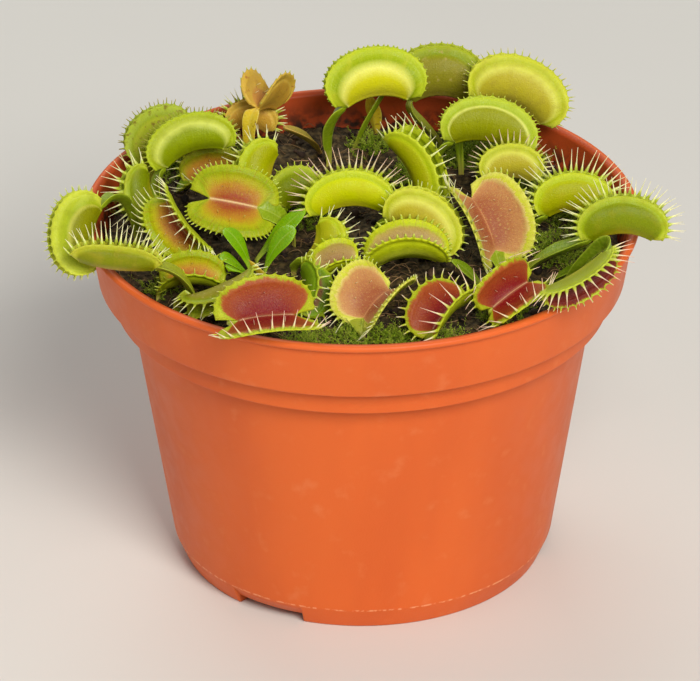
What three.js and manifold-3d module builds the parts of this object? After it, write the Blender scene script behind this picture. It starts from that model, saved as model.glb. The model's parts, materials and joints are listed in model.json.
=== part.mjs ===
// A potted venus flytrap: a 12 cm plastic nursery pot filled with peat, and the many small plants
// in it, each leaf ending in a hinged trap with two toothed lobes.
// Millimetres, +Z up. The tables below measure from the pot's axis, at the surface that the pot
// stands on; the finished group is moved so that its origin is under the middle of its box.
// Azimuths turn from +X towards +Y; the side with the most open traps faces -Y.
import * as THREE from 'three';
import { mergeVertices } from 'three/addons/utils/BufferGeometryUtils.js';
import Module from 'manifold-3d';

const wasm = await Module();
wasm.setup();

// Driving dimensions of the pot, from the foot ring up.
const POT = {
  segments: 48,
  wall: 1.2,
  footRadius: 39.2,
  footWidth: 2.4,
  heelRadius: 41.4,
  heelHeight: 5.1,
  floorHeight: 2.6,
  floorThickness: 1.6,
  bodyTopRadius: 50.1,
  bodyTop: 60.5,
  bandRadius: 53.5,
  bandTop: 66.3,
  collarRadius: 56.8,
  lipBottom: 78.4,
  lipRadius: 60,
  lipDepth: 1.1,
  lipBevel: 0.6,
  rimTop: 80,
  bandTaper: 0.6,
  notchHeight: 2.2,
  notchAzimuths: [-121, -1, 119],
  notchWidth: 16,
  notchLength: 12,
  drainRadius: 4,
  drainRing: 27,
  drainCount: 6,
  drainSides: 10,
};

// The peat: how far its surface lies below the rim, how it heaves, and the holes for the stalks.
const PEAT = {
  surface: 72.9,
  heave: 0.7,
  gap: 0.35,
  bottomInset: 0.4,
  rings: [0.25, 0.5, 0.75, 0.94],
  segments: 32,
  holeDepth: 4.2,
  holeRadius: 1.6,
  holeSides: 5,
};

// A stalk: its foot in the peat, how high it rises straight, the reach of its curve's handles,
// its half width below the trap, and its neck, which is sunk into the trap's fold.
const STALK = {
  depth: 3.6,
  rise: 0.6,
  footHalf: 0.75,
  footThick: 1.3,
  thick: 0.9,
  sections: 5,
  handle: 0.35,
  slimHalf: 0.8,
  broadHalf: 1.9,
  taper: 1.3,
  neckHalf: 0.6,
  neckThick: 0.8,
  sink: 1.0,
  offset: 0.12,
};

// A plain leaf's half width at its ends, and how full its outline is.
const BLADE = { tipHalf: 0.35, fullness: 0.8 };

// A lobe: its thickness, how soon it spreads, the share of the half turn that its margin sweeps,
// how full it is, and its teeth.
const LOBE = {
  thick: 0.72,
  flare: 1.2,
  sweep: 0.955,
  roundness: 0.62,
  toothHalf: 0.42,
  toothStagger: 0.22,
  toothAtEnds: 0.62,
  toothFan: 0.9,
  toothUpright: 0.25,
};

// Edges shorter than this are closed up where a stalk is joined to its trap.
const SHORTEST = 0.03;

// How finely a trap is divided: along its margin, and from margin to margin.
const COLUMNS = 8;
const ROWS = [-1, -0.5, 0, 0.5, 1];
const WIDE_TRAP = 11;
const WIDE_ROWS = [-1, -0.72, -0.36, 0, 0.36, 0.72, 1];

// How far a trap has closed. Angles are in degrees from the plane that halves the trap: of the
// lobe where it leaves the hinge, of the lobe at its margin, and of the teeth. Then come half the
// angle of the arc that the hinge bends through, below 0 where it sags, and how far the margin
// spreads past its ends.
const FORMS = {
  wide: { root: 84, margin: 62, teeth: 52, arc: 10, spread: 1.85 },
  open: { root: 66, margin: 40, teeth: 16, arc: 13, spread: 1.8 },
  cup: { root: 66, margin: 26, teeth: 4, arc: 22, spread: 1.5 },
  ajar: { root: 60, margin: 14, teeth: -4, arc: 28, spread: 1.28 },
  vee: { root: 48, margin: 10, teeth: 4, arc: 12, spread: 1.28 },
  clam: { root: 60, margin: -40, teeth: -12, arc: 30, spread: 1.28 },
  shut: { root: 62, margin: -48, teeth: -30, arc: -12, spread: 1.28 },
};

const LOOKS = {
  lime: 0xa8c83a,
  pale: 0xbccb74,
  green: 0x7fae32,
  olive: 0x98a04a,
  pink: 0xb98a66,
  red: 0x9c3a30,
  orange: 0xc08a48,
  yellow: 0xd0b050,
  blade: 0x6ea02e,
};

// The leaves that end in a trap: where the stalk stands in the peat, where the middle of the
// hinge is, which way the hinge runs from the stalk (heading, pitch) and how the trap is rolled
// about it, the hinge's length, the lobe's width and the length of the longest teeth.
const TRAP_LEAVES = [
  { name: 'trap_leaf_01', root: [-7, 36], hinge: [3.5, 35, 91], turn: [5, 5, -25],
    size: [14.5, 11.5], form: 'clam', tooth: 0.9, look: 'lime' },
  { name: 'trap_leaf_02', root: [18, 42], hinge: [17.3, 44, 86.5], turn: [0, 0, -20],
    size: [12, 12], form: 'clam', tooth: 0.9, look: 'olive' },
  { name: 'trap_leaf_03', root: [22, 30], hinge: [33.5, 35, 88.5], turn: [-10, -20, -25],
    size: [15, 11.5], form: 'clam', tooth: 1.2, look: 'pale' },
  { name: 'trap_leaf_04', root: [16, 25], hinge: [27.5, 23, 86], turn: [-5, -10, -25],
    size: [14.5, 10], form: 'clam', tooth: 1.4, look: 'lime' },
  { name: 'trap_leaf_05', root: [25, 14.5], hinge: [32.5, 15.5, 81], turn: [0, 0, -25],
    size: [9, 7.5], form: 'clam', tooth: 3.0, look: 'pale' },
  { name: 'trap_leaf_06', root: [12, 5], hinge: [11, 9, 85], turn: [135, 55, 12],
    size: [14, 8.5], form: 'clam', tooth: 6, look: 'green' },
  { name: 'trap_leaf_07', root: [8.5, -2.5], hinge: [-2.5, -2, 83.5], turn: [-180, -5, 20],
    size: [13.5, 8], form: 'clam', tooth: 5, look: 'lime' },
  { name: 'trap_leaf_08', root: [1.5, -8.5], hinge: [12, -10.5, 81], turn: [-20, -30, -25],
    size: [12, 10], form: 'clam', tooth: 1.6, look: 'lime' },
  { name: 'trap_leaf_09', root: [-14.5, -15.5], hinge: [-9.5, -16, 81.5], turn: [55, 55, 110],
    size: [7.5, 7], form: 'clam', tooth: 3.5, look: 'lime' },
  { name: 'trap_leaf_10', root: [0, -17.5], hinge: [9.5, -19, 80], turn: [0, 5, -5],
    size: [13.5, 8], form: 'ajar', tooth: 1.8, look: 'pink' },
  { name: 'trap_leaf_11', root: [-10, -26], hinge: [-5, -23, 79.5], turn: [10, 15, 10],
    size: [7, 6], form: 'ajar', tooth: 2.5, look: 'pink' },
  { name: 'trap_leaf_12', root: [0, -43], hinge: [2.9, -37.05, 78.4], turn: [50, 20, 0],
    size: [9.2, 10], form: 'cup', tooth: 2.2, look: 'pink' },
  { name: 'trap_leaf_13', root: [13.5, -46.5], hinge: [17.9, -42.9, 78.8], turn: [45, 20, -11],
    size: [9.8, 8.3], form: 'cup', tooth: 5.5, look: 'red' },
  { name: 'trap_leaf_14', root: [31, -41], hinge: [31.25, -41.65, 82.75], turn: [35, 20, 35],
    size: [9.6, 7], form: 'cup', tooth: 4.5, look: 'red' },
  { name: 'trap_leaf_15', root: [43, -26], hinge: [45.3, -42.8, 88], turn: [205, -22, -108],
    size: [14, 5.6], form: 'vee', tooth: 5, look: 'green' },
  { name: 'trap_leaf_16', root: [35, -18], hinge: [55.5, -18, 85], turn: [0, 0, -20],
    size: [13.5, 8.5], form: 'clam', tooth: 5.2, look: 'lime' },
  { name: 'trap_leaf_17', root: [37, 0], hinge: [45.5, -3.5, 83], turn: [0, 0, -20],
    size: [11.5, 8.5], form: 'clam', tooth: 5.2, look: 'lime' },
  { name: 'trap_leaf_18', root: [29.5, -14.5], hinge: [26.5, -7, 81.3], turn: [125, 45, 0],
    size: [12.5, 10.5], form: 'cup', tooth: 2.8, look: 'pink' },
  { name: 'trap_leaf_19', root: [-14.5, -1], hinge: [-27.5, -0.5, 83], turn: [175, 10, -45],
    size: [10.5, 8], form: 'wide', tooth: 1.5, look: 'orange' },
  { name: 'trap_leaf_20', root: [-20, -40.5], hinge: [-20, -55.4, 85], turn: [12, 0, 26],
    size: [11.7, 8.7], form: 'open', tooth: 3.6, look: 'red' },
  { name: 'trap_leaf_21', root: [-14, -37], hinge: [-12, -34, 80], turn: [80, 50, 75],
    size: [8, 6.5], form: 'ajar', tooth: 2.2, look: 'olive' },
  { name: 'trap_leaf_22', root: [-19.5, 11], hinge: [-20, 13.5, 82.5], turn: [80, 60, -70],
    size: [10, 8], form: 'clam', tooth: 3.6, look: 'lime' },
  { name: 'trap_leaf_23', root: [-19, 8], hinge: [-13.5, 7.5, 79], turn: [5, 10, -25],
    size: [5.5, 8.5], form: 'clam', tooth: 1, look: 'pale' },
  { name: 'trap_leaf_24', root: [-40, 22], hinge: [-32.5, 22, 77.5], turn: [5, 5, 20],
    size: [10, 6.5], form: 'ajar', tooth: 3.5, look: 'orange' },
  { name: 'trap_leaf_25', root: [-46.5, 20], hinge: [-41.5, 24.5, 81.5], turn: [15, 25, -25],
    size: [8, 12.5], form: 'clam', tooth: 0.8, look: 'olive' },
  { name: 'trap_leaf_26', root: [-44, 11], hinge: [-36.5, 16, 87.5], turn: [10, 15, -25],
    size: [14, 8.5], form: 'clam', tooth: 0.8, look: 'lime' },
  { name: 'trap_leaf_27', root: [-24, 31], hinge: [-20.5, 37, 87], turn: [55, -20, -10],
    size: [7, 9], form: 'vee', tooth: 0.5, look: 'yellow' },
  { name: 'trap_leaf_28', root: [-30, 39], hinge: [-24, 41, 80.5], turn: [-5, -5, -20],
    size: [7.5, 6], form: 'clam', tooth: 1.6, look: 'yellow' },
  { name: 'trap_leaf_29', root: [-40, 2.5], hinge: [-45.5, 3, 83], turn: [130, 55, -105],
    size: [10, 6.5], form: 'clam', tooth: 5, look: 'green' },
  { name: 'trap_leaf_30', root: [-38, -13.5], hinge: [-38.8, -12.6, 84.3], turn: [145, 45, -80],
    size: [11.8, 7], form: 'ajar', tooth: 5, look: 'orange' },
  { name: 'trap_leaf_31', root: [-35, -31.5], hinge: [-52, -32.3, 84.6], turn: [175, 5, 10],
    size: [16, 5.5], form: 'shut', tooth: 4.6, look: 'green' },
  { name: 'trap_leaf_32', root: [-48.3, -4.6], hinge: [-57.5, -21, 86.5], turn: [-100, -60, 70],
    size: [11.5, 10], form: 'clam', tooth: 1.0, look: 'pale' },
  { name: 'trap_leaf_33', root: [-43.5, -25.5], hinge: [-36, -25.5, 77.5], turn: [0, 0, 10],
    size: [10.5, 6.5], form: 'ajar', tooth: 1, look: 'orange' },
  { name: 'trap_leaf_34', root: [-39.5, -32.5], hinge: [-30, -34.5, 80], turn: [10, 20, 90],
    size: [12, 6.5], form: 'clam', tooth: 3.6, look: 'olive' },
];

// The leaves without a trap: stalk in the peat, middle and tip of the blade, half its width, and
// where along its length it is widest.
const PLAIN_LEAVES = [
  { name: 'plain_leaf_01', root: [-1.5, 43], middle: [1.5, 42, 81], tip: [5.5, 41, 89],
    half: 1.7, widest: 0.5, look: 'blade' },
  { name: 'plain_leaf_02', root: [3.5, 49.5], middle: [3, 47.5, 79], tip: [2, 45.5, 85],
    half: 1.5, widest: 0.6, look: 'yellow' },
  { name: 'dead_leaf', root: [-9, 42], middle: [-12, 41, 77], tip: [-17, 38.5, 81],
    half: 2.4, widest: 0.45, look: 'yellow' },
  { name: 'plain_leaf_03', root: [-21, -15], middle: [-18, -13, 79], tip: [-14, -12, 82.5],
    half: 2.7, widest: 0.7, look: 'blade' },
  { name: 'plain_leaf_04', root: [-22.5, -9], middle: [-17, -6, 79], tip: [-12, -4, 83],
    half: 2.2, widest: 0.6, look: 'blade' },
  { name: 'plain_leaf_05', root: [-23.5, -17], middle: [-27.2, -18, 77.6], tip: [-30.4, -18.2, 79.2],
    half: 2.2, widest: 0.65, look: 'blade' },
  { name: 'plain_leaf_06', root: [-23.5, -20.5], middle: [-26, -22.6, 77.8], tip: [-28.4, -24.8, 79.8],
    half: 2, widest: 0.65, look: 'blade' },
  { name: 'plain_leaf_07', root: [-23.5, -14], middle: [-26.5, -12.5, 79.5], tip: [-29.6, -11, 82],
    half: 2, widest: 0.6, look: 'blade' },
  { name: 'plain_leaf_08', root: [-20, -22.5], middle: [-22, -24.5, 79], tip: [-24, -26.5, 83],
    half: 1.6, widest: 0.35, look: 'yellow' },
  { name: 'plain_leaf_09', root: [26, -22], middle: [22.5, -21.5, 77], tip: [19, -20.5, 79.5],
    half: 1.9, widest: 0.55, look: 'blade' },
  { name: 'plain_leaf_10', root: [31, -25], middle: [31, -27, 77], tip: [31.5, -29, 80.5],
    half: 1.5, widest: 0.5, look: 'blade' },
  { name: 'plain_leaf_11', root: [38, -22], middle: [44, -24, 78.5], tip: [50, -24, 80.5],
    half: 1.9, widest: 0.6, look: 'blade' },
];

const RAD = Math.PI / 180;
const UP = new THREE.Vector3(0, 0, 1);

/** A mesh whose corners are given in a list and whose faces are triples of corner numbers. */
function meshGeometry(corners, faces) {
  const geometry = new THREE.BufferGeometry();
  const positions = corners.flatMap((p) => [p.x, p.y, p.z]);
  geometry.setAttribute('position', new THREE.Float32BufferAttribute(positions, 3));
  geometry.setIndex(faces.flat());
  return geometry;
}

/** The same closed shape as a solid that can be joined and cut. */
function toSolid(geometry) {
  const bare = geometry.clone();
  bare.deleteAttribute('normal');
  bare.deleteAttribute('uv');
  const merged = mergeVertices(bare, 1e-4);
  return new wasm.Manifold(new wasm.Mesh({
    numProp: 3,
    vertProperties: new Float32Array(merged.attributes.position.array),
    triVerts: new Uint32Array(merged.index.array),
  }));
}

/** A solid as a geometry again, with flat faces. */
function toGeometry(solid) {
  const { numProp, vertProperties, triVerts } = solid.getMesh();
  const positions = [];
  for (const corner of triVerts) {
    for (let k = 0; k < 3; k += 1) positions.push(vertProperties[corner * numProp + k]);
  }
  const geometry = new THREE.BufferGeometry();
  geometry.setAttribute('position', new THREE.Float32BufferAttribute(positions, 3));
  geometry.computeVertexNormals();
  return geometry;
}

/** A point at an azimuth in degrees, a radius and a height. */
function atAzimuth(azimuth, radius, height) {
  return new THREE.Vector3(
    radius * Math.cos(azimuth * RAD), radius * Math.sin(azimuth * RAD), height,
  );
}

/** A lathe turned so that its profile of [radius, height] pairs goes round the Z axis. */
function turned(profile, segments) {
  const points = profile.map(([radius, height]) => new THREE.Vector2(radius, height));
  return new THREE.LatheGeometry(points, segments).rotateX(Math.PI / 2);
}

/** The pot's outer profile from the heel to the rim, moved in by an inset. */
function wallProfile(inset) {
  const p = POT;
  return [
    [p.heelRadius - inset, p.heelHeight],
    [p.bodyTopRadius - inset, p.bodyTop + inset],
    [p.bandRadius - inset, p.bodyTop + inset],
    [p.bandRadius + p.bandTaper - inset, p.bandTop + inset],
    [p.collarRadius - inset, p.bandTop + inset],
  ];
}

/** The pot: foot ring with drain notches, floor with drain holes, stepped wall and rolled lip. */
function makePot() {
  const p = POT;
  const collarTop = p.lipRadius - p.lipDepth;
  const outer = [
    [p.footRadius, 0],
    ...wallProfile(0),
    [collarTop, p.lipBottom],
    [p.lipRadius, p.lipBottom + 0.1],
    [p.lipRadius, p.rimTop - p.lipBevel],
    [p.lipRadius - p.lipBevel, p.rimTop],
  ];
  const inner = wallProfile(p.wall).reverse();
  const floorTop = p.floorHeight + p.floorThickness;
  const profile = [
    [0, p.floorHeight],
    [p.footRadius - p.footWidth, p.floorHeight],
    [p.footRadius - p.footWidth, 0],
    ...outer,
    [collarTop - p.wall, p.rimTop],
    ...inner.slice(0, -1),
    [p.heelRadius - p.wall - 0.2, floorTop],
    [0, floorTop],
  ];
  let pot = toSolid(turned(profile, p.segments));
  for (const azimuth of p.notchAzimuths) {
    const box = new THREE.BoxGeometry(p.notchLength, p.notchWidth, 2 * p.notchHeight);
    box.rotateZ(azimuth * RAD);
    box.translate(...atAzimuth(azimuth, p.footRadius, 0).toArray());
    pot = pot.subtract(toSolid(box));
  }
  for (let i = 0; i < p.drainCount; i += 1) {
    const hole = new THREE.CylinderGeometry(
      p.drainRadius, p.drainRadius, 3 * p.floorHeight + 3 * p.floorThickness, p.drainSides,
    );
    hole.rotateX(Math.PI / 2);
    hole.translate(...atAzimuth(i * 360 / p.drainCount, p.drainRing, 0).toArray());
    pot = pot.subtract(toSolid(hole));
  }
  return toGeometry(pot);
}

/** The height of the peat's surface, which heaves in low mounds. */
function peatHeight(x, y) {
  const mounds = Math.sin(0.21 * x + 0.7) * Math.cos(0.17 * y - 0.4)
    + 0.5 * Math.sin(0.43 * y + 0.31 * x);
  return PEAT.surface + PEAT.heave * mounds / 1.5;
}

/** The peat that fills the pot, with a plain hole for each stalk. */
function makePeat(roots) {
  const inset = POT.wall + PEAT.gap;
  const wall = wallProfile(inset);
  const slope = (POT.lipRadius - POT.lipDepth - POT.collarRadius)
    / (POT.rimTop - POT.bandTop - POT.wall);
  const edge = POT.collarRadius - inset + slope * (PEAT.surface - POT.bandTop - POT.wall);
  const bottom = POT.floorHeight + POT.floorThickness + PEAT.gap;
  const profile = [
    [0, bottom],
    [POT.heelRadius - inset - PEAT.bottomInset, bottom],
    ...wall.slice(1),
    [edge, PEAT.surface],
    ...PEAT.rings.slice().reverse().map((share) => [share * edge, PEAT.surface]),
    [0, PEAT.surface],
  ];
  const body = turned(profile, PEAT.segments);
  const place = body.attributes.position;
  for (let i = 0; i < place.count; i += 1) {
    if (place.getZ(i) > PEAT.surface - 0.01) {
      place.setZ(i, peatHeight(place.getX(i), place.getY(i)));
    }
  }
  let peat = toSolid(body);
  for (const [x, y] of roots) {
    const hole = new THREE.CylinderGeometry(
      PEAT.holeRadius, PEAT.holeRadius, 2 * PEAT.holeDepth, PEAT.holeSides,
    );
    hole.rotateX(Math.PI / 2);
    hole.translate(x, y, peatHeight(x, y));
    peat = peat.subtract(toSolid(hole));
  }
  return toGeometry(peat);
}

/** The three directions of a trap: along the hinge, across it, and out of its mouth. */
function trapAxes([heading, pitch, roll]) {
  const [a, b, g] = [heading * RAD, pitch * RAD, roll * RAD];
  const level = new THREE.Vector3(Math.cos(a), Math.sin(a), 0);
  const along = level.clone().multiplyScalar(Math.cos(b)).addScaledVector(UP, Math.sin(b));
  const rise = level.clone().multiplyScalar(-Math.sin(b)).addScaledVector(UP, Math.cos(b));
  const side = rise.clone().cross(along);
  const mouth = rise.multiplyScalar(Math.cos(g)).addScaledVector(side, -Math.sin(g));
  const across = mouth.clone().cross(along);
  return { along, across, mouth };
}

/**
 * A trap's surface. The hinge is an arc; a lobe leaves it at the form's root angle and bends
 * evenly to its margin angle. psi sweeps the margin from end to end as round a rounded
 * half-moon, and v goes from -1, one margin, through 0, the hinge, to 1, the other margin.
 */
class Trap {
  constructor({ hinge, turn, size, form, tooth }) {
    this.axes = trapAxes(turn);
    this.at = new THREE.Vector3(...hinge);
    [this.length, this.width] = size;
    this.form = FORMS[form];
    this.tooth = tooth;
    this.half = this.length / 2;
    this.reach = this.half * this.form.spread;
    this.radius = this.half / (this.form.arc * RAD);
    this.sweep = LOBE.sweep * Math.PI / 2;
  }

  /** The point of the middle surface at psi, v. */
  point(psi, v) {
    const { root, margin } = this.form;
    const bend = (margin - root) * RAD / this.width;
    const t = Math.abs(v);
    const run = this.width * Math.cos(psi) ** LOBE.roundness * t;
    const turnedBy = root * RAD + bend * run;
    const out = (Math.sin(turnedBy) - Math.sin(root * RAD)) / bend;
    const aside = Math.sign(v) * (Math.cos(root * RAD) - Math.cos(turnedBy)) / bend;
    const spread = this.half + (this.reach - this.half) * t ** LOBE.flare;
    const phi = spread * Math.sin(psi) / this.radius;
    return this.at.clone()
      .addScaledVector(this.axes.along, (this.radius + out) * Math.sin(phi))
      .addScaledVector(this.axes.mouth, (this.radius + out) * Math.cos(phi) - this.radius)
      .addScaledVector(this.axes.across, aside);
  }

  /** The directions along the hinge's arc and out of it, at an angle from its middle. */
  onArc(phi) {
    const { along, mouth } = this.axes;
    return {
      tangent: along.clone().multiplyScalar(Math.cos(phi)).addScaledVector(mouth, -Math.sin(phi)),
      outward: along.clone().multiplyScalar(Math.sin(phi)).addScaledVector(mouth, Math.cos(phi)),
    };
  }

  /** The unit normal there, on the side of the mouth, from neighbouring points. */
  normal(psi, v) {
    const step = 0.02;
    const p = THREE.MathUtils.clamp(psi, step - this.sweep, this.sweep - step);
    const w = THREE.MathUtils.clamp(v, step - 1, 1 - step);
    const alongMargin = this.point(p + step, w).sub(this.point(p - step, w));
    const acrossLobe = this.point(p, w + step).sub(this.point(p, w - step));
    return alongMargin.cross(acrossLobe).normalize();
  }

  /** The tip of the tooth that stands on the margin at psi of the lobe on one side. */
  tip(psi, side) {
    const { tangent, outward } = this.onArc(this.reach * Math.sin(psi) / this.radius);
    const lean = this.form.teeth * RAD;
    const way = outward.multiplyScalar(Math.cos(lean))
      .addScaledVector(this.axes.across, side * Math.sin(lean));
    const fan = new THREE.Vector2(
      LOBE.toothFan * Math.sin(psi), Math.cos(psi) + LOBE.toothUpright,
    ).normalize();
    const length = this.tooth * THREE.MathUtils.lerp(LOBE.toothAtEnds, 1, Math.cos(psi));
    return this.point(psi, side)
      .addScaledVector(tangent, length * fan.x)
      .addScaledVector(way, length * fan.y);
  }

  /** Where the stalk joins the hinge, and the hinge's direction there. */
  joint() {
    const { tangent } = this.onArc(-this.half * Math.sin(this.sweep) / this.radius);
    return { at: this.point(-this.sweep, 0), run: tangent, across: this.axes.across };
  }

  /** Both lobes with their teeth, as one closed mesh: two skins, the rim between them, and a
      pyramid on each short stretch of the margin that a tooth stands on. */
  geometry() {
    const rows = this.width >= WIDE_TRAP ? WIDE_ROWS : ROWS;
    const last = rows.length - 1;
    const corners = [];
    const faces = [];
    const add = (point) => corners.push(point) - 1;
    const pair = (psi, v) => {
      const middle = this.point(psi, v);
      const half = this.normal(psi, v).multiplyScalar(LOBE.thick / 2);
      return [add(middle.clone().add(half)), add(middle.clone().sub(half))];
    };
    const face = (a, b, c) => {
      faces.push([a[0], b[0], c[0]], [a[1], c[1], b[1]]);
    };
    const quad = (a, b, c, d) => {
      face(a, b, c);
      face(a, c, d);
    };
    const rim = (a, b) => {
      faces.push([a[0], a[1], b[1]], [a[0], b[1], b[0]]);
    };
    const spacing = 2 * this.sweep / (COLUMNS - 1);
    const toothHalf = LOBE.toothHalf / this.reach;
    // the two margins keep their teeth out of step, so that closed teeth interlock
    const toothAt = (i, v) => (i + v * LOBE.toothStagger) * spacing - this.sweep;
    const column = (i) => rows.map((v, j) => {
      const isEnd = i === 0 || i === COLUMNS - 1;
      const isMargin = j === 0 || j === last;
      if (isEnd || !isMargin) return [pair(i * spacing - this.sweep, v)];
      return [pair(toothAt(i, v) - toothHalf, v), pair(toothAt(i, v) + toothHalf, v)];
    });
    const grid = Array.from({ length: COLUMNS }, (_, i) => column(i));
    for (let i = 0; i < COLUMNS; i += 1) {
      for (const [j, inner] of [[0, 1], [last, last - 1]]) {
        const stand = grid[i][j];
        if (stand.length === 2) {
          const [a, b] = j === 0 ? stand : [stand[1], stand[0]];
          const tip = add(this.tip(toothAt(i, rows[j]), rows[j]));
          face(a, b, grid[i][inner][0]);
          faces.push([a[0], a[1], tip], [a[1], b[1], tip], [b[1], b[0], tip], [b[0], a[0], tip]);
        }
      }
    }
    for (let i = 0; i + 1 < COLUMNS; i += 1) {
      for (let j = 0; j < last; j += 1) {
        const near = (cell) => cell[cell.length - 1];
        quad(near(grid[i][j]), grid[i + 1][j][0], grid[i + 1][j + 1][0], near(grid[i][j + 1]));
      }
      rim(grid[i][0][grid[i][0].length - 1], grid[i + 1][0][0]);
      rim(grid[i + 1][last][0], grid[i][last][grid[i][last].length - 1]);
    }
    for (let j = 0; j < last; j += 1) {
      rim(grid[0][j + 1][0], grid[0][j][0]);
      rim(grid[COLUMNS - 1][j][0], grid[COLUMNS - 1][j + 1][0]);
    }
    return meshGeometry(corners, faces);
  }
}

/** A tube of flat diamond sections: stations give a centre, a half width and its direction. */
function bladeGeometry(stations) {
  const corners = [];
  const faces = [];
  stations.forEach(({ at, side, half, thick }, i) => {
    const ahead = stations[Math.min(i + 1, stations.length - 1)].at;
    const behind = stations[Math.max(i - 1, 0)].at;
    const run = ahead.clone().sub(behind).normalize();
    const across = side.clone().addScaledVector(run, -side.dot(run)).normalize();
    const up = run.clone().cross(across);
    corners.push(
      at.clone().addScaledVector(across, half),
      at.clone().addScaledVector(up, thick / 2),
      at.clone().addScaledVector(across, -half),
      at.clone().addScaledVector(up, -thick / 2),
    );
  });
  const sides = 4;
  for (let i = 0; i + 1 < stations.length; i += 1) {
    for (let k = 0; k < sides; k += 1) {
      const a = i * sides + k;
      const b = i * sides + (k + 1) % sides;
      faces.push([a, b, b + sides], [a, b + sides, a + sides]);
    }
  }
  const end = (stations.length - 1) * sides;
  faces.push([0, 2, 1], [0, 3, 2], [end, end + 1, end + 2], [end, end + 2, end + 3]);
  return meshGeometry(corners, faces);
}

/** A stalk from its hole in the peat to a point, arriving there along a direction. */
function stalkStations(root, target, arrival, side, halves) {
  const foot = new THREE.Vector3(root[0], root[1], peatHeight(...root) + STALK.rise);
  const reach = STALK.handle * target.distanceTo(foot);
  const curve = new THREE.CubicBezierCurve3(
    foot,
    foot.clone().addScaledVector(UP, reach),
    target.clone().addScaledVector(arrival, -reach),
    target,
  );
  const level = new THREE.Vector3(root[1] - target.y, target.x - root[0], 0);
  if (level.length() < 0.5) level.copy(side).setZ(0);
  level.normalize();
  const turnedSide = side.clone().multiplyScalar(level.dot(side) < 0 ? -1 : 1);
  const stations = [{
    at: foot.clone().addScaledVector(UP, -STALK.rise - STALK.depth),
    side: level, half: STALK.footHalf, thick: STALK.footThick,
  }];
  for (let i = 0; i < STALK.sections; i += 1) {
    const u = i / (STALK.sections - 1);
    const first = i === 0;
    stations.push({
      at: curve.getPoint(u),
      side: level.clone().lerp(turnedSide, u).normalize(),
      half: first ? STALK.footHalf : halves(u),
      thick: first ? STALK.footThick : STALK.thick,
    });
  }
  return stations;
}

/** A leaf with a trap: its stalk widens below the trap and narrows to a neck at the hinge. */
function makeTrapLeaf(leaf) {
  const trap = new Trap(leaf);
  const { at, run, across } = trap.joint();
  const { slimHalf, broadHalf, taper } = STALK;
  const halves = (u) => {
    const share = Math.sin(Math.PI * Math.min(u / taper, 1)) ** 1.2;
    const half = THREE.MathUtils.lerp(slimHalf, broadHalf, share);
    return u < 1 ? half : half - broadHalf + slimHalf;
  };
  const stations = stalkStations(leaf.root, at, run, across, halves);
  // the neck ends a little off the fold, so that no two edges of the two solids fall together
  const end = at.clone().addScaledVector(run, STALK.sink).addScaledVector(across, STALK.offset);
  stations.push({ at: end, side: across, half: STALK.neckHalf, thick: STALK.neckThick });
  const leafSolid = toSolid(trap.geometry()).add(toSolid(bladeGeometry(stations)));
  return toGeometry(leafSolid.simplify(SHORTEST));
}

/** A leaf without a trap: a blade from its hole through its middle to its tip. */
function makePlainLeaf({ root, middle, tip, half, widest }) {
  const foot = new THREE.Vector3(root[0], root[1], peatHeight(...root) + STALK.rise);
  const end = new THREE.Vector3(...tip);
  const waist = new THREE.Vector3(...middle);
  const curve = new THREE.QuadraticBezierCurve3(
    foot, waist.multiplyScalar(2).addScaledVector(foot, -0.5).addScaledVector(end, -0.5), end,
  );
  const level = new THREE.Vector3(foot.y - end.y, end.x - foot.x, 0).normalize();
  const power = Math.log(0.5) / Math.log(widest);
  const halfAt = (u) => {
    const share = Math.max(Math.sin(Math.PI * u ** power), 0) ** BLADE.fullness;
    return Math.max(BLADE.tipHalf, half * share);
  };
  const stations = [{
    at: foot.clone().addScaledVector(UP, -STALK.rise - STALK.depth),
    side: level, half: STALK.footHalf, thick: STALK.footThick,
  }];
  for (let i = 0; i < STALK.sections; i += 1) {
    const u = i / (STALK.sections - 1);
    stations.push({
      at: curve.getPoint(u),
      side: level,
      half: i === 0 ? STALK.footHalf : halfAt(u),
      thick: i === 0 ? STALK.footThick : STALK.thick,
    });
  }
  return bladeGeometry(stations);
}

/** A named mesh with a plain material. */
function piece(name, geometry, color, roughness) {
  const mesh = new THREE.Mesh(
    geometry, new THREE.MeshStandardMaterial({ color, roughness, metalness: 0 }),
  );
  mesh.name = name;
  return mesh;
}

const plant = new THREE.Group();
plant.add(piece('pot', makePot(), 0xd0662e, 0.5));
const roots = [...TRAP_LEAVES, ...PLAIN_LEAVES].map((leaf) => leaf.root);
plant.add(piece('peat', makePeat(roots), 0x2e2018, 0.95));
for (const leaf of TRAP_LEAVES) {
  plant.add(piece(leaf.name, makeTrapLeaf(leaf), LOOKS[leaf.look], 0.45));
}
for (const leaf of PLAIN_LEAVES) {
  plant.add(piece(leaf.name, makePlainLeaf(leaf), LOOKS[leaf.look], 0.45));
}

// the traps lean out unevenly, so the frame's origin is set under the middle of the whole box
const middle = new THREE.Box3().setFromObject(plant).getCenter(new THREE.Vector3());
plant.position.set(-middle.x, -middle.y, 0);

export default plant;
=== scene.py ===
"""Finished surfaces of a potted venus flytrap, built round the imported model.

The tables are in millimetres and measure from the pot's axis at the surface that the pot stands
on, +Z up; azimuths turn from +X towards +Y. Each leaf, the pot and the peat is one finer piece of
closed surfaces in the place of its solid, and moss, fibres and crumbs are added on the peat.
"""

import json
import logging
from collections.abc import Sequence
from dataclasses import dataclass, field
from enum import Enum

import bpy
import numpy as np
from mathutils import Matrix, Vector
from numpy.typing import NDArray

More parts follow.
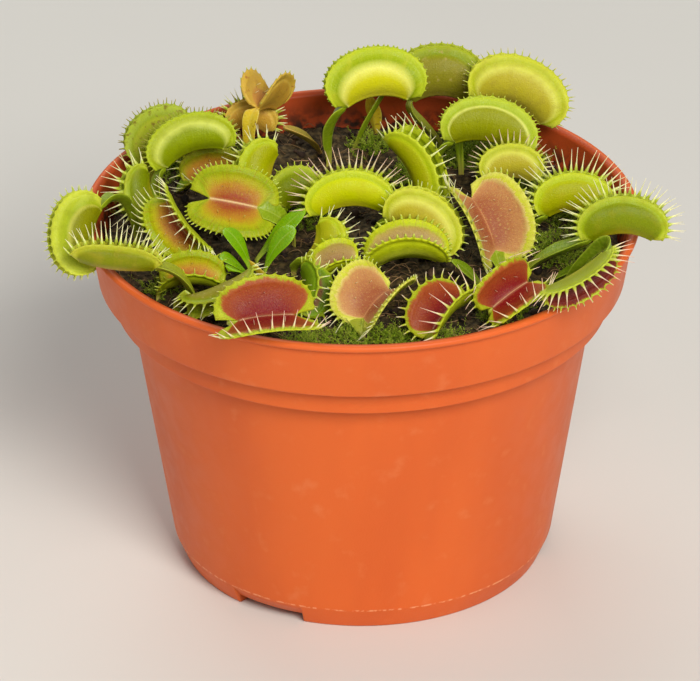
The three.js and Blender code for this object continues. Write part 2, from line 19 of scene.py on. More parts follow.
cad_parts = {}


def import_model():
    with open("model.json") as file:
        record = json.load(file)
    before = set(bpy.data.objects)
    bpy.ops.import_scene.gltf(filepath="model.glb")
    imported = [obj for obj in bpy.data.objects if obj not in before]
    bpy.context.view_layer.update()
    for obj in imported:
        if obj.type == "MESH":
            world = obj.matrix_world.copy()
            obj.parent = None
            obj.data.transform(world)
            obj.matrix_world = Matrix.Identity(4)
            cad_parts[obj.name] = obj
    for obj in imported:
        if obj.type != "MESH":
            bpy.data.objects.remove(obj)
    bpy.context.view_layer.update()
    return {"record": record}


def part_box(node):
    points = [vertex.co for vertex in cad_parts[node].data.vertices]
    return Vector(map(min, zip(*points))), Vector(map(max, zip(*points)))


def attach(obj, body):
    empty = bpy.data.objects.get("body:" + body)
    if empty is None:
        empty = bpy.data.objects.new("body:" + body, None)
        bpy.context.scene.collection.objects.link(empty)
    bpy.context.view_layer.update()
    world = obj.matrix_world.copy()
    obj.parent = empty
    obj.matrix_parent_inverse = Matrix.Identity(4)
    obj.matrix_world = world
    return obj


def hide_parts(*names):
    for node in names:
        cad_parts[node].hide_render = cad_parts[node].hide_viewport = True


Array = NDArray[np.float64]
Triple = tuple[float, float, float]
Pair = tuple[float, float]

MM = 0.001
BODY = "root"
UP = np.array([0.0, 0.0, 1.0])
LOG = logging.getLogger("flytrap")

# The height of the peat and of its mounds, how far over it a root ends, how far under it it
# starts, and the root's half width.
PEAT_LEVEL = 72.9
MOUNDS = 0.7
ROOT_RISE = 0.6
ROOT_SINK = 3.0
ROOT_HALF = 0.65

# A direction that hardly any leaflet runs along.
SLANT = (0.31, 0.17, 0.93)


def linear(colour: int) -> tuple[float, float, float, float]:
    """A screen colour such as 0xD0662E as linear light, with alpha 1.

    Args:
        colour: the screen colour.

    Returns:
        Red, green, blue and alpha.
    """
    shares = [(colour >> shift & 255) / 255 for shift in (16, 8, 0)]
    light = [s / 12.92 if s < 0.04045 else ((s + 0.055) / 1.055) ** 2.4 for s in shares]
    return (light[0], light[1], light[2], 1.0)


def smooth(low: float, high: float, x: Array) -> Array:
    """Rises from 0 at low to 1 at high as 3t^2 - 2t^3."""
    t = np.clip((x - low) / (high - low), 0, 1)
    return t * t * (3 - 2 * t)


def unit(vectors: Array) -> Array:
    """The vectors along the last axis, each divided by its length."""
    return vectors / np.maximum(np.linalg.norm(vectors, axis=-1, keepdims=True), 1e-9)


class Lattice:
    """Smooth noise from random values on a square lattice."""

    SIDE = 128

    def __init__(self, seed: int) -> None:
        """Draws the lattice's values.

        Args:
            seed: the seed of the draw.
        """
        self.values = np.random.default_rng(seed).uniform(-1, 1, (self.SIDE, self.SIDE))

    def at(self, x: Array, y: Array, spacing: float) -> Array:
        """Noise of one octave: the four values round a point, blended by 3t^2 - 2t^3.

        Args:
            x: places along X.
            y: places along Y.
            spacing: the lattice's spacing.

        Returns:
            Values from -1 to 1.
        """
        col, row = np.floor(x / spacing).astype(int), np.floor(y / spacing).astype(int)
        a = smooth(0, 1, x / spacing - col)
        b = smooth(0, 1, y / spacing - row)
        near, far = col % self.SIDE, (col + 1) % self.SIDE
        low, high = row % self.SIDE, (row + 1) % self.SIDE
        bottom = self.values[near, low] * (1 - a) + self.values[far, low] * a
        top = self.values[near, high] * (1 - a) + self.values[far, high] * a
        return bottom * (1 - b) + top * b


@dataclass
class Surface:
    """A closed surface: points, faces, and what its finish reads at each point."""

    points: Array
    quads: NDArray[np.int64]
    tris: NDArray[np.int64]
    marks: dict[str, Array]
    uv: Array
    finish: int = 0


def grid_quads(rows: int, columns: int) -> NDArray[np.int64]:
    """Quads between the neighbouring rows of a grid whose last column meets its first.

    Args:
        rows: how many rows the grid has.
        columns: how many points each row has.

    Returns:
        Four point numbers a quad.
    """
    row = np.arange(rows - 1)[:, None] * columns
    here = np.arange(columns)[None, :]
    after = (here + 1) % columns
    corners = (row + here, row + after, row + columns + after, row + columns + here)
    return np.stack([np.broadcast_to(c, (rows - 1, columns)) for c in corners], -1).reshape(-1, 4)


def shell(upper: Array, lower: Array, marks: dict[str, Array], uv: Array, finish: int) -> Surface:
    """Two skins on one grid, joined along both edges and closed at both ends.

    A row's loop runs over the upper skin and back under the lower one, and each end is a strip of
    quads between the two.

    Args:
        upper: the upper skin, rows by columns by 3.
        lower: the lower skin, of the same shape.
        marks: what the finish reads, each rows by columns by 2: on the upper and the lower skin.
        uv: the pattern's coordinates, rows by columns by 2, alike on both skins.
        finish: the number of the finish in the piece's list.

    Returns:
        The closed surface, its faces outwards.
    """
    rows, columns = upper.shape[:2]
    loop = 2 * columns
    points = np.concatenate([upper, lower[:, ::-1]], 1).reshape(-1, 3)
    i = np.arange(columns - 1)
    strip = np.stack([i, i + 1, loop - i - 2, loop - i - 1], -1)
    quads = np.concatenate([grid_quads(rows, loop), strip[:, ::-1], strip + (rows - 1) * loop])
    both = {
        name: np.concatenate([m[..., 0], m[:, ::-1, 1]], 1).reshape(-1) for name, m in marks.items()
    }
    pattern = np.concatenate([uv, uv[:, ::-1]], 1).reshape(-1, 2)
    return outwards(Surface(points, quads, np.empty((0, 3), int), both, pattern, finish))


def outwards(surface: Surface) -> Surface:
    """Turns a closed surface's faces outwards, told by the sign of the volume that they hold.

    Args:
        surface: the closed surface.

    Returns:
        The same surface, its faces outwards.
    """
    a, b, c, d = (surface.points[surface.quads[:, k]] for k in range(4))
    volume = np.einsum("ij,ij", a, np.cross(b, c)) + np.einsum("ij,ij", a, np.cross(c, d))
    if volume < 0:
        surface.quads = surface.quads[:, ::-1]
        surface.tris = surface.tris[:, ::-1]
    return surface


def capped(grid: Array, hubs: Sequence[Sequence[float]], marks: dict[str, Array]) -> Surface:
    """Rings of points, closed at each end by a fan round a middle point.

    Args:
        grid: the rings, rows by columns by 3, each ring's last point next to its first.
        hubs: the middle point of the first ring and that of the last.
        marks: what the finish reads, for the grid's points and then the hubs.

    Returns:
        The closed surface, its faces outwards.
    """
    rows, columns = grid.shape[:2]
    count = rows * columns
    here = np.arange(columns)
    after = (here + 1) % columns
    first = np.stack([after, here, np.full(columns, count)], -1)
    last = np.stack([here, after, np.full(columns, count + 1)], -1)
    last = last + [count - columns, count - columns, 0]
    points = np.concatenate([grid.reshape(-1, 3), hubs])
    tris, uv = np.concatenate([first, last]), np.zeros((count + 2, 2))
    return outwards(Surface(points, grid_quads(rows, columns), tris, marks, uv))


def tubes(
    paths: Array, across: Array, width: Array, depth: Array, sides: int,
    marks: dict[str, Array], finish: int,
) -> Surface:
    """Closed tapered tubes along many paths at once.

    A point is path + width cos(a) across + depth sin(a) lift, where a goes round the section and
    lift is the path's direction crossed with across.

    Args:
        paths: centre points, tubes by stations by 3.
        across: the direction of each section's width, broadcast to the paths.
        width: half widths, broadcast to tubes by stations.
        depth: half depths, broadcast to tubes by stations.
        sides: how many sides a section has, 3 or an even number.
        marks: what the finish reads, each broadcast to tubes by stations.
        finish: the number of the finish in the piece's list.

    Returns:
        All tubes as one surface, their faces outwards.
    """
    count, stations = paths.shape[:2]
    run = unit(np.gradient(paths, axis=1))
    across = np.broadcast_to(across, paths.shape)
    across = unit(across - run * (across * run).sum(-1, keepdims=True))
    lift = np.cross(run, across)
    a = 2 * np.pi * np.arange(sides) / sides
    wide = np.broadcast_to(width, (count, stations))[:, :, None, None] * np.cos(a)[:, None]
    deep = np.broadcast_to(depth, (count, stations))[:, :, None, None] * np.sin(a)[:, None]
    rings = paths[:, :, None] + wide * across[:, :, None] + deep * lift[:, :, None]
    starts = np.arange(count)[:, None, None] * stations * sides
    last = (stations - 1) * sides
    i = np.arange(sides // 2 - 1)
    ends = np.stack([i, i + 1, sides - 2 - i, sides - 1 - i], -1)
    one = np.concatenate([grid_quads(stations, sides), ends[:, ::-1], ends + last])
    points_of_three = np.array([[2, 1, 0], [last, last + 1, last + 2]])
    tris = points_of_three[None] + starts if sides == 3 else np.empty((0, 3), int)
    spread = {
        name: np.repeat(np.broadcast_to(m, (count, stations)).reshape(-1), sides)
        for name, m in marks.items()
    }
    return Surface(
        rings.reshape(-1, 3), (one[None] + starts).reshape(-1, 4), tris.reshape(-1, 3), spread,
        np.zeros((rings.size // 3, 2)), finish,
    )


def spikes(base: Array, way: Array, half: Array, marks: dict[str, Array], finish: int) -> Surface:
    """Many small pointed leaflets, each a slim pyramid on three points round its base.

    Args:
        base: the middle of each base, spikes by 3.
        way: from each base to its tip, spikes by 3.
        half: each base's radius.
        marks: what the finish reads, one value a spike.
        finish: the number of the finish in the piece's list.

    Returns:
        All spikes as one surface, their faces outwards.
    """
    count = len(base)
    side = unit(np.cross(way, SLANT))
    lift = np.cross(unit(way), side)
    a = 2 * np.pi * np.arange(3) / 3
    ring = np.cos(a)[:, None] * side[:, None] + np.sin(a)[:, None] * lift[:, None]
    points = np.concatenate([base[:, None] + half[:, None, None] * ring, (base + way)[:, None]], 1)
    one = np.array([[0, 1, 3], [1, 2, 3], [2, 0, 3], [2, 1, 0]])
    tris = (one[None] + 4 * np.arange(count)[:, None, None]).reshape(-1, 3)
    return Surface(
        points.reshape(-1, 3), np.empty((0, 4), int), tris,
        {name: np.repeat(m, 4) for name, m in marks.items()}, np.zeros((4 * count, 2)), finish,
    )


class Workshop:
    """Puts surfaces into the scene as finished pieces of the frame."""

    def __init__(self, record: dict) -> None:
        """Finds the pot's axis in the frame and each node's material slot.

        Args:
            record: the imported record.
        """
        low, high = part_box("pot")
        self.axis = np.array([(low[0] + high[0]) / 2, (low[1] + high[1]) / 2, low[2]])
        self.slots = {part["node"]: part["material_slot"] for part in record["subparts"]}

    def build(
        self, name: str, surfaces: Sequence[Surface], finishes: Sequence[bpy.types.Material],
        slot: str, replaces: Sequence[str] = (),
    ) -> bpy.types.Object:
        """Makes one smooth-shaded piece of several closed surfaces.

        Args:
            name: the piece's name.
            surfaces: the surfaces, in millimetres from the pot's axis.
            finishes: the materials that the surfaces' finish numbers count in.
            slot: the record's material slot; not used.
            replaces: the nodes that the piece stands for.

        Returns:
            The piece, riding on the body.
        """
        sizes = [len(s.points) for s in surfaces]
        starts = np.cumsum([0, *sizes[:-1]])
        points = np.concatenate([s.points for s in surfaces]) * MM + self.axis
        quads = np.concatenate([s.quads + at for s, at in zip(surfaces, starts)])
        tris = np.concatenate([s.tris + at for s, at in zip(surfaces, starts)])
        corners = np.concatenate([quads.reshape(-1), tris.reshape(-1)])
        totals = np.repeat([4, 3], [len(quads), len(tris)])
        mesh = bpy.data.meshes.new(name)
        mesh.vertices.add(len(points))
        mesh.vertices.foreach_set("co", points.reshape(-1))
        mesh.loops.add(len(corners))
        mesh.loops.foreach_set("vertex_index", corners)
        mesh.polygons.add(len(totals))
        mesh.polygons.foreach_set("loop_start", np.concatenate([[0], np.cumsum(totals)[:-1]]))
        mesh.polygons.foreach_set("use_smooth", np.ones(len(totals), bool))
        chosen = [np.full(len(s.quads), s.finish) for s in surfaces]
        chosen += [np.full(len(s.tris), s.finish) for s in surfaces]
        for finish in finishes:
            mesh.materials.append(finish)
        mesh.polygons.foreach_set("material_index", np.concatenate(chosen))
        layer = mesh.uv_layers.new(name="pattern")
        uv = np.concatenate([s.uv for s in surfaces])
        layer.data.foreach_set("uv", uv[corners].reshape(-1))
        for mark in sorted({mark for s in surfaces for mark in s.marks}):
            values = [s.marks.get(mark, np.zeros(len(s.points))) for s in surfaces]
            attribute = mesh.attributes.new(mark, "FLOAT", "POINT")
            attribute.data.foreach_set("value", np.concatenate(values))
        mesh.update(calc_edges=True)
        piece = bpy.data.objects.new(name, mesh)
        bpy.context.scene.collection.objects.link(piece)
        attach(piece, BODY)
        if replaces:
            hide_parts(*replaces)
        LOG.info("%s: %d faces", name, len(totals))
        return piece


class Finish:
    """A builder for one procedural material round a Principled shader.

    MIX_A, MIX_B and MIX_RESULT are the numbers of a Mix node's colour sockets.
    """

    MIX_A = 6
    MIX_B = 7
    MIX_RESULT = 2

    def __init__(self, name: str, roughness: float, specular: float = 0.5) -> None:
        """Makes the material and its shader.

        Args:
            name: the material's name.
            roughness: the shader's roughness, where no pattern sets it.
            specular: the shader's specular level.
        """
        self.material = bpy.data.materials.new(name)
        self.material.use_nodes = True
        self.tree = self.material.node_tree
        self.shader = self.tree.nodes["Principled BSDF"]
        self.shader.inputs["Roughness"].default_value = roughness
        self.shader.inputs["Specular IOR Level"].default_value = specular
        self.place = self.tree.nodes.new("ShaderNodeTexCoord")

    def link(self, value: object, socket: bpy.types.NodeSocket) -> None:
        """Feeds a socket from another, or sets it to a number or colour.

        Args:
            value: a socket, a number or a colour.
            socket: the socket that is fed.
        """
        if isinstance(value, bpy.types.NodeSocket):
            self.tree.links.new(value, socket)
        else:
            socket.default_value = value

    def mark(self, name: str) -> bpy.types.NodeSocket:
        """The value of one of the mesh's marks.

        Args:
            name: the mark's name.

        Returns:
            Its value.
        """
        node = self.tree.nodes.new("ShaderNodeAttribute")
        node.attribute_name = name
        return node.outputs["Fac"]

    def noise(
        self, size: float, detail: float = 3, stretch: Triple = (1, 1, 1),
    ) -> bpy.types.NodeSocket:
        """Noise on the object's own coordinates.

        Args:
            size: the size of its patches in millimetres.
            detail: how many octaves it has.
            stretch: how much it is squeezed along each axis.

        Returns:
            The noise, about 0.5.
        """
        return self._noise(self.place.outputs["Object"], 1 / (size * MM), detail, stretch)

    def streaks(self, count: float, length: float) -> bpy.types.NodeSocket:
        """Noise drawn out on the mesh's own pattern: count streaks wide, length patches long."""
        return self._noise(self.place.outputs["UV"], 1, 2, (count, length, 1))

    def _noise(
        self, vector: bpy.types.NodeSocket, scale: float, detail: float, stretch: Triple,
    ) -> bpy.types.NodeSocket:
        """Noise on given coordinates, squeezed along each axis.

        Args:
            vector: the coordinates.
            scale: patches to one unit of them.
            detail: how many octaves it has.
            stretch: how much it is squeezed along each axis.

        Returns:
            The noise, about 0.5.
        """
        turn = self.tree.nodes.new("ShaderNodeMapping")
        turn.inputs["Scale"].default_value = stretch
        self.tree.links.new(vector, turn.inputs["Vector"])
        node = self.tree.nodes.new("ShaderNodeTexNoise")
        node.inputs["Scale"].default_value = scale
        node.inputs["Detail"].default_value = detail
        self.tree.links.new(turn.outputs["Vector"], node.inputs["Vector"])
        return node.outputs["Fac"]

    def cells(self, size: float) -> bpy.types.NodeSocket:
        """The distance to the nearest of scattered points, size millimetres apart.

        Args:
            size: the points' spacing in millimetres.

        Returns:
            The distance, in spacings.
        """
        node = self.tree.nodes.new("ShaderNodeTexVoronoi")
        node.inputs["Scale"].default_value = 1 / (size * MM)
        self.tree.links.new(self.place.outputs["Object"], node.inputs["Vector"])
        return node.outputs["Distance"]

    def height(self) -> bpy.types.NodeSocket:
        """The height over the standing surface, in metres.

        Returns:
            The height.
        """
        node = self.tree.nodes.new("ShaderNodeSeparateXYZ")
        self.tree.links.new(self.place.outputs["Object"], node.inputs["Vector"])
        return node.outputs["Z"]

    def ramp(
        self, value: bpy.types.NodeSocket, stops: Sequence[tuple[float, int]],
    ) -> bpy.types.NodeSocket:
        """Colours along a value: each stop is a place from 0 to 1 and a screen colour.

        Args:
            value: what the colours run along.
            stops: the places and colours.

        Returns:
            The colour.
        """
        node = self.tree.nodes.new("ShaderNodeValToRGB")
        band = node.color_ramp
        while len(band.elements) < len(stops):
            band.elements.new(0.5)
        for element, (at, colour) in zip(band.elements, sorted(stops)):
            element.position = at
            element.color = linear(colour)
        self.tree.links.new(value, node.inputs["Fac"])
        return node.outputs["Color"]

    def rise(
        self, value: object, low: float, high: float, to: Pair = (0, 1),
    ) -> bpy.types.NodeSocket:
        """A value carried from low and high to two others, and held there outside them.

        Args:
            value: the value.
            low: where the result starts to change.
            high: where it ends.
            to: the results at low and at high.

        Returns:
            The result.
        """
        node = self.tree.nodes.new("ShaderNodeMapRange")
        node.interpolation_type = "SMOOTHSTEP"
        self.link(value, node.inputs["Value"])
        for name, number in zip(("From Min", "From Max", "To Min", "To Max"), (low, high, *to)):
            node.inputs[name].default_value = number
        return node.outputs["Result"]

    def math(self, kind: str, a: object, b: object) -> bpy.types.NodeSocket:
        """One of the Math node's operations on two values.

        Args:
            kind: the operation.
            a: the first value.
            b: the second value.

        Returns:
            The result.
        """
        node = self.tree.nodes.new("ShaderNodeMath")
        node.operation = kind
        self.link(a, node.inputs[0])
        self.link(b, node.inputs[1])
        return node.outputs["Value"]

    def mix(self, share: object, a: object, b: object, kind: str = "MIX") -> bpy.types.NodeSocket:
        """Colour a with a share of colour b laid over it.

        Args:
            share: how much of b shows.
            a: the colour below.
            b: the colour above.
            kind: how the two blend.

        Returns:
            The colour.
        """
        node = self.tree.nodes.new("ShaderNodeMix")
        node.data_type = "RGBA"
        node.blend_type = kind
        self.link(share, node.inputs["Factor"])
        for value, socket in ((a, node.inputs[self.MIX_A]), (b, node.inputs[self.MIX_B])):
            self.link(linear(value) if isinstance(value, int) else value, socket)
        return node.outputs[self.MIX_RESULT]

    def relief(self, heights: Sequence[tuple[bpy.types.NodeSocket, float]]) -> None:
        """Bumps the surface: each height runs from 0 to 1 over a depth in millimetres.

        Args:
            heights: each height and its depth.
        """
        normal = None
        for height, depth in heights:
            node = self.tree.nodes.new("ShaderNodeBump")
            node.inputs["Distance"].default_value = depth * MM
            self.tree.links.new(height, node.inputs["Height"])
            if normal is not None:
                self.tree.links.new(normal, node.inputs["Normal"])
            normal = node.outputs["Normal"]
        self.tree.links.new(normal, self.shader.inputs["Normal"])

    def flesh(self, weight: float, radius: Triple, scale: float) -> None:
        """Lets light spread under the surface.

        Args:
            weight: the share of the light that spreads.
            radius: how far red, green and blue spread, as shares of the reach.
            scale: the reach in millimetres.
        """
        self.shader.inputs["Subsurface Weight"].default_value = weight
        self.shader.inputs["Subsurface Radius"].default_value = radius
        self.shader.inputs["Subsurface Scale"].default_value = scale * MM

    def colour(self, value: object) -> None:
        """Sets the base colour."""
        self.link(value, self.shader.inputs["Base Color"])

    def rough(self, value: bpy.types.NodeSocket) -> None:
        """Lets a pattern set the roughness."""
        self.link(value, self.shader.inputs["Roughness"])


@dataclass(frozen=True)
class LobeFinish:
    """The skin of a trap's lobes, outside and in. Colours are screen colours.

    Outside, low is the colour at the hinge and face the one over it; line is a painted highlight
    at highlight_at of the lobe's width, band lies over it and rim on the very margin. Inside, hinge
    is a thin light line along the hinge, painted as the highlight on its ridge, and deep, cup and
    edge go up from it; the flush ends at reach, over a share fade of the width. PATCHES, GLANDS
    and SPOTS are sizes in millimetres, VEINS and HAIRS how many run across and along.
    """

    low: int
    face: int
    line: int
    band: int
    # line: the colour of a painted highlight along the crest of the lobe's face
    rim: int
    # hinge: a thin light line along the hinge, painted as the highlight on its ridge
    hinge: int = 0xD8D070
    deep: int = 0xB4BC40
    cup: int = 0xB0BE30
    edge: int = 0xB0C028
    reach: float = 0.5
    fade: float = 0.07
    highlight_at: float = 0.8
    highlight_width: float = 0.06
    blotches: float = 0.0
    blotch: int = 0x6B4A22
    gloss: float = 0.42

    PATCHES = 2.4
    GLANDS = 0.3
    SPOTS = 1.1
    VEINS = (58, 2.6)
    HAIRS = (130, 26)
    UNREST = 0.03
    VEIN_UNREST = 0.02

    def outside(self, f: Finish, margin: bpy.types.NodeSocket) -> bpy.types.NodeSocket:
        """The colour of the outer skin from the hinge to the margin, with a painted highlight line.

        Args:
            f: the finish that is being built.
            margin: the place from the hinge, 0, to the margin, 1.

        Returns:
            The colour.
        """
        # the line stop paints a highlight on the face at highlight_at, between face and band
        return f.ramp(margin, [
            (0.0, self.low), (0.3, self.face), (self.highlight_at - self.highlight_width, self.face),
            (self.highlight_at, self.line), (self.highlight_at + self.highlight_width, self.band), (1.0, self.rim),
        ])

    def inside(self, f: Finish, climb: bpy.types.NodeSocket) -> bpy.types.NodeSocket:
        """The colour of the inner skin from beside the hinge to the margin.

        Args:
            f: the finish that is being built.
            climb: the place from the hinge, 0, to the margin, 1, with unrest.

        Returns:
            The colour.
        """
        past = self.reach + self.fade
        return f.ramp(climb, [
            (0.0, self.deep), (0.35 * self.reach, self.deep), (self.reach, self.cup),
            (past, self.edge), (max(0.86, past + 0.03), self.band), (1.0, self.rim),
        ])

    def material(self, name: str) -> bpy.types.Material:
        """Fine veins run from hinge to margin, and the inside has dark glands and golden hairs.

        Args:
            name: the material's name.

        Returns:
            The material.
        """
        f = Finish(name, self.gloss, 0.18)
        margin, inner = f.mark("margin"), f.mark("inner")
        patches, veins = f.noise(self.PATCHES, 5), f.streaks(*self.VEINS)
        drift, jitter = (-self.UNREST, self.UNREST), (-self.VEIN_UNREST, self.VEIN_UNREST)
        climb = f.math("ADD", margin, f.rise(patches, 0.3, 0.7, drift))
        climb = f.math("ADD", climb, f.rise(veins, 0.3, 0.7, jitter))
        within = self.inside(f, climb)
        within = f.mix(f.rise(veins, 0.5, 0.72, (0.0, 0.3)), within, self.deep)
        within = f.mix(f.rise(f.streaks(*self.HAIRS), 0.54, 0.68, (0.0, 0.45)), within, self.edge)
        without = self.outside(f, margin)
        without = f.mix(f.rise(veins, 0.4, 0.75, (0.0, 0.08)), without, self.line)
        without = f.mix(f.rise(patches, 0.45, 0.75, (0.0, 0.3)), without, self.low)
        skin = f.mix(inner, without, within)
        # the light line along the hinge is a painted highlight on the hinge's ridge
        seam = f.math("MULTIPLY", f.mark("seam"), inner)
        skin = f.mix(seam, skin, self.hinge)
        glands = f.cells(self.GLANDS)
        dots = f.math("MULTIPLY", f.rise(glands, 0.1, 0.34, (0.45, 0.0)), inner)
        skin = f.mix(dots, skin, self.deep)
        if self.blotches:
            spots = f.rise(f.noise(self.SPOTS, 4), 0.64 - 0.2 * self.blotches, 0.74, (0.0, 0.8))
            skin = f.mix(spots, skin, self.blotch)
        f.colour(skin)
        f.rough(f.rise(patches, 0.2, 0.8, (self.gloss - 0.07, self.gloss + 0.14)))
        f.relief([(veins, 0.05), (patches, 0.11), (glands, 0.05)])
        f.flesh(0.22, (1.0, 0.9, 0.25), 1.0)
        return f.material


@dataclass(frozen=True)
class TeethFinish:
    """The teeth: green at the margin, then pale, and often flushed at the tip."""

    base: int
    shaft: int
    tip: int

    def material(self, name: str) -> bpy.types.Material:
        """Colour along the tooth with a little unrest.

        Args:
            name: the material's name.

        Returns:
            The material.
        """
        f = Finish(name, 0.4)
        along = f.mark("along")
        colour = f.ramp(along, [
            (0.0, self.base), (0.1, self.base), (0.32, self.shaft), (1.0, self.tip),
        ])
        grain = f.noise(0.8)
        f.colour(f.mix(f.rise(grain, 0.4, 0.8, (0.0, 0.35)), colour, self.tip))
        f.relief([(grain, 0.03)])
        f.flesh(0.25, (1.0, 0.8, 0.4), 0.5)
        return f.material


@dataclass(frozen=True)
class StalkFinish:
    """A stalk or plain blade: pale where it leaves the peat, glossy green above.

    PATCHES and SPOTS are sizes in millimetres, VEINS how many run across and along.
    """

    foot: int
    blade: int
    tip: int
    gloss: float = 0.32
    blotches: float = 0.0
    edge: int = 0xB8C840
    midrib: int = 0xD0D870
    blotch: int = 0x8A5A2A

    PATCHES = 2.0
    SPOTS = 0.9
    VEINS = (2.5, 36)

    def material(self, name: str) -> bpy.types.Material:
        """A paler midrib, lighter edges, long fine veins and soft patches.

        Args:
            name: the material's name.

        Returns:
            The material.
        """
        f = Finish(name, self.gloss, 0.4)
        along, edge = f.mark("along"), f.mark("edge")
        colour = f.ramp(along, [
            (0.0, self.foot), (0.25, self.blade), (0.75, self.blade), (1.0, self.tip),
        ])
        patches, veins = f.noise(self.PATCHES, 4), f.streaks(*self.VEINS)
        colour = f.mix(f.rise(edge, 0.0, 0.1, (0.3, 0.0)), colour, self.midrib)
        colour = f.mix(f.rise(edge, 0.84, 1.0, (0.0, 0.5)), colour, self.edge)
        colour = f.mix(f.rise(veins, 0.4, 0.7, (0.0, 0.25)), colour, self.edge)
        colour = f.mix(f.rise(patches, 0.5, 0.85, (0.0, 0.4)), colour, self.tip)
        if self.blotches:
            spots = f.rise(f.noise(self.SPOTS, 4), 0.62 - 0.2 * self.blotches, 0.72, (0.0, 0.7))
            colour = f.mix(spots, colour, self.blotch)
        f.colour(colour)
        f.rough(f.rise(patches, 0.2, 0.8, (self.gloss - 0.06, self.gloss + 0.14)))
        f.relief([(veins, 0.07), (patches, 0.12)])
        f.flesh(0.2, (0.8, 1.0, 0.3), 0.8)
        return f.material


@dataclass(frozen=True)
class PlasticFinish:
    """Injection-moulded terracotta-coloured plastic with a satin skin and some wear.

    heel and soil_top are heights in millimetres; FLOW, MOTTLE, GRAIN, WEAR and DIRT are the sizes
    of the patterns.
    """

    colour: int = 0xE2692C
    flow: int = 0xD25C27
    # inside: the inner wall's colour, the same plastic painted darker as painted shade
    inside: int = 0xB4481E
    soil: int = 0x3B2418
    scuff: int = 0xF0A070
    heel: float = 5.1
    soil_top: float = 76.5

    FLOW = 22
    MOTTLE = 5
    GRAIN = 0.35
    WEAR = 1.3
    DIRT = 2.4

    def material(self, name: str) -> bpy.types.Material:
        """Faint flow marks, a moulded grain, a scuffed line on the heel, soil stains inside.

        Args:
            name: the material's name.

        Returns:
            The material.
        """
        f = Finish(name, 0.46, 0.25)
        height, inside = f.height(), f.mark("inside")
        flow, mottle = f.noise(self.FLOW, 3, (1, 1, 0.25)), f.noise(self.MOTTLE, 5)
        grain = f.noise(self.GRAIN, 2)
        skin = f.mix(f.rise(flow, 0.35, 0.7, (0.0, 0.55)), self.colour, self.flow)
        skin = f.mix(f.rise(mottle, 0.55, 0.8, (0.0, 0.18)), skin, self.scuff)
        # the inner wall takes the darker colour: painted shade
        skin = f.mix(inside, skin, self.inside)
        below = f.rise(height, (self.heel - 0.3) * MM, self.heel * MM)
        above = f.rise(height, (self.heel + 0.1) * MM, (self.heel + 0.4) * MM, (1, 0))
        worn = f.rise(f.noise(self.WEAR, 4), 0.42, 0.6)
        worn = f.math("MULTIPLY", f.math("MULTIPLY", below, above), worn)
        skin = f.mix(worn, skin, self.scuff)
        low = f.rise(height, (self.soil_top - 4) * MM, (self.soil_top + 2) * MM, (1, 0))
        dirt = f.rise(f.noise(self.DIRT, 5), 0.4, 0.62)
        stain = f.math("MULTIPLY", f.math("MULTIPLY", low, inside), dirt)
        skin = f.mix(stain, skin, self.soil)
        f.colour(skin)
        f.rough(f.rise(mottle, 0.25, 0.75, (0.4, 0.54)))
        f.relief([(grain, 0.035), (flow, 0.12), (mottle, 0.05)])
        f.flesh(0.12, (1.0, 0.35, 0.15), 1.5)
        return f.material


@dataclass(frozen=True)
class PeatFinish:
    """Damp milled peat: painted shade near black in the hollows, brown on the crumbs."""

    shaded_hollow: int = 0x1A1409
    body: int = 0x3A2E16
    crumb: int = 0x66522C
    speck: int = 0x7A5838

    GRAIN = 1.3
    FINE = 0.35

    def material(self, name: str) -> bpy.types.Material:
        """Colour by the crumbs' noise, painted shade in its hollows, and a few damp, smoother
        grains.

        Args:
            name: the material's name.

        Returns:
            The material.
        """
        f = Finish(name, 0.9, 0.3)
        grain, fine = f.noise(self.GRAIN, 6), f.noise(self.FINE, 3)
        # the noise's low values, which the relief sinks, are painted near black as painted shade;
        # body and crumb are the peat's own tones
        colour = f.ramp(grain, [(0.3, self.shaded_hollow), (0.5, self.body), (0.72, self.crumb)])
        f.colour(f.mix(f.rise(fine, 0.62, 0.75, (0.0, 0.5)), colour, self.speck))
        f.rough(f.rise(grain, 0.3, 0.7, (0.98, 0.62)))
        f.relief([(grain, 0.5), (fine, 0.15)])
        return f.material


@dataclass(frozen=True)
class ScatterFinish:
    """Small scattered things whose colour changes from one to the next."""

    dark: int
    mid: int
    light: int
    roughness: float = 0.7
    flesh: float = 0.0

    def material(self, name: str) -> bpy.types.Material:
        """Colour by each piece's own shade.

        Args:
            name: the material's name.

        Returns:
            The material.
        """
        f = Finish(name, self.roughness, 0.35)
        grain = f.noise(0.5)
        colour = f.ramp(f.mark("shade"), [(0.0, self.dark), (0.5, self.mid), (1.0, self.light)])
        f.colour(f.mix(f.rise(grain, 0.45, 0.8, (0.0, 0.4)), colour, self.dark))
        f.relief([(grain, 0.05)])
        if self.flesh:
            f.flesh(self.flesh, (0.8, 1.0, 0.3), 0.5)
        return f.material


@dataclass(frozen=True)
class FloorFinish:
    """The pale studio floor."""

    colour: int = 0xDEDCD7
    shade: int = 0xD2CFC9

    DRIFT = 180

    def material(self, name: str) -> bpy.types.Material:
        """Matt, with very faint unrest.

        Args:
            name: the material's name.

        Returns:
            The material.
        """
        f = Finish(name, 0.85, 0.3)
        drift = f.noise(self.DRIFT)
        f.colour(f.mix(f.rise(drift, 0.3, 0.7, (0.0, 0.25)), self.colour, self.shade))
        return f.material


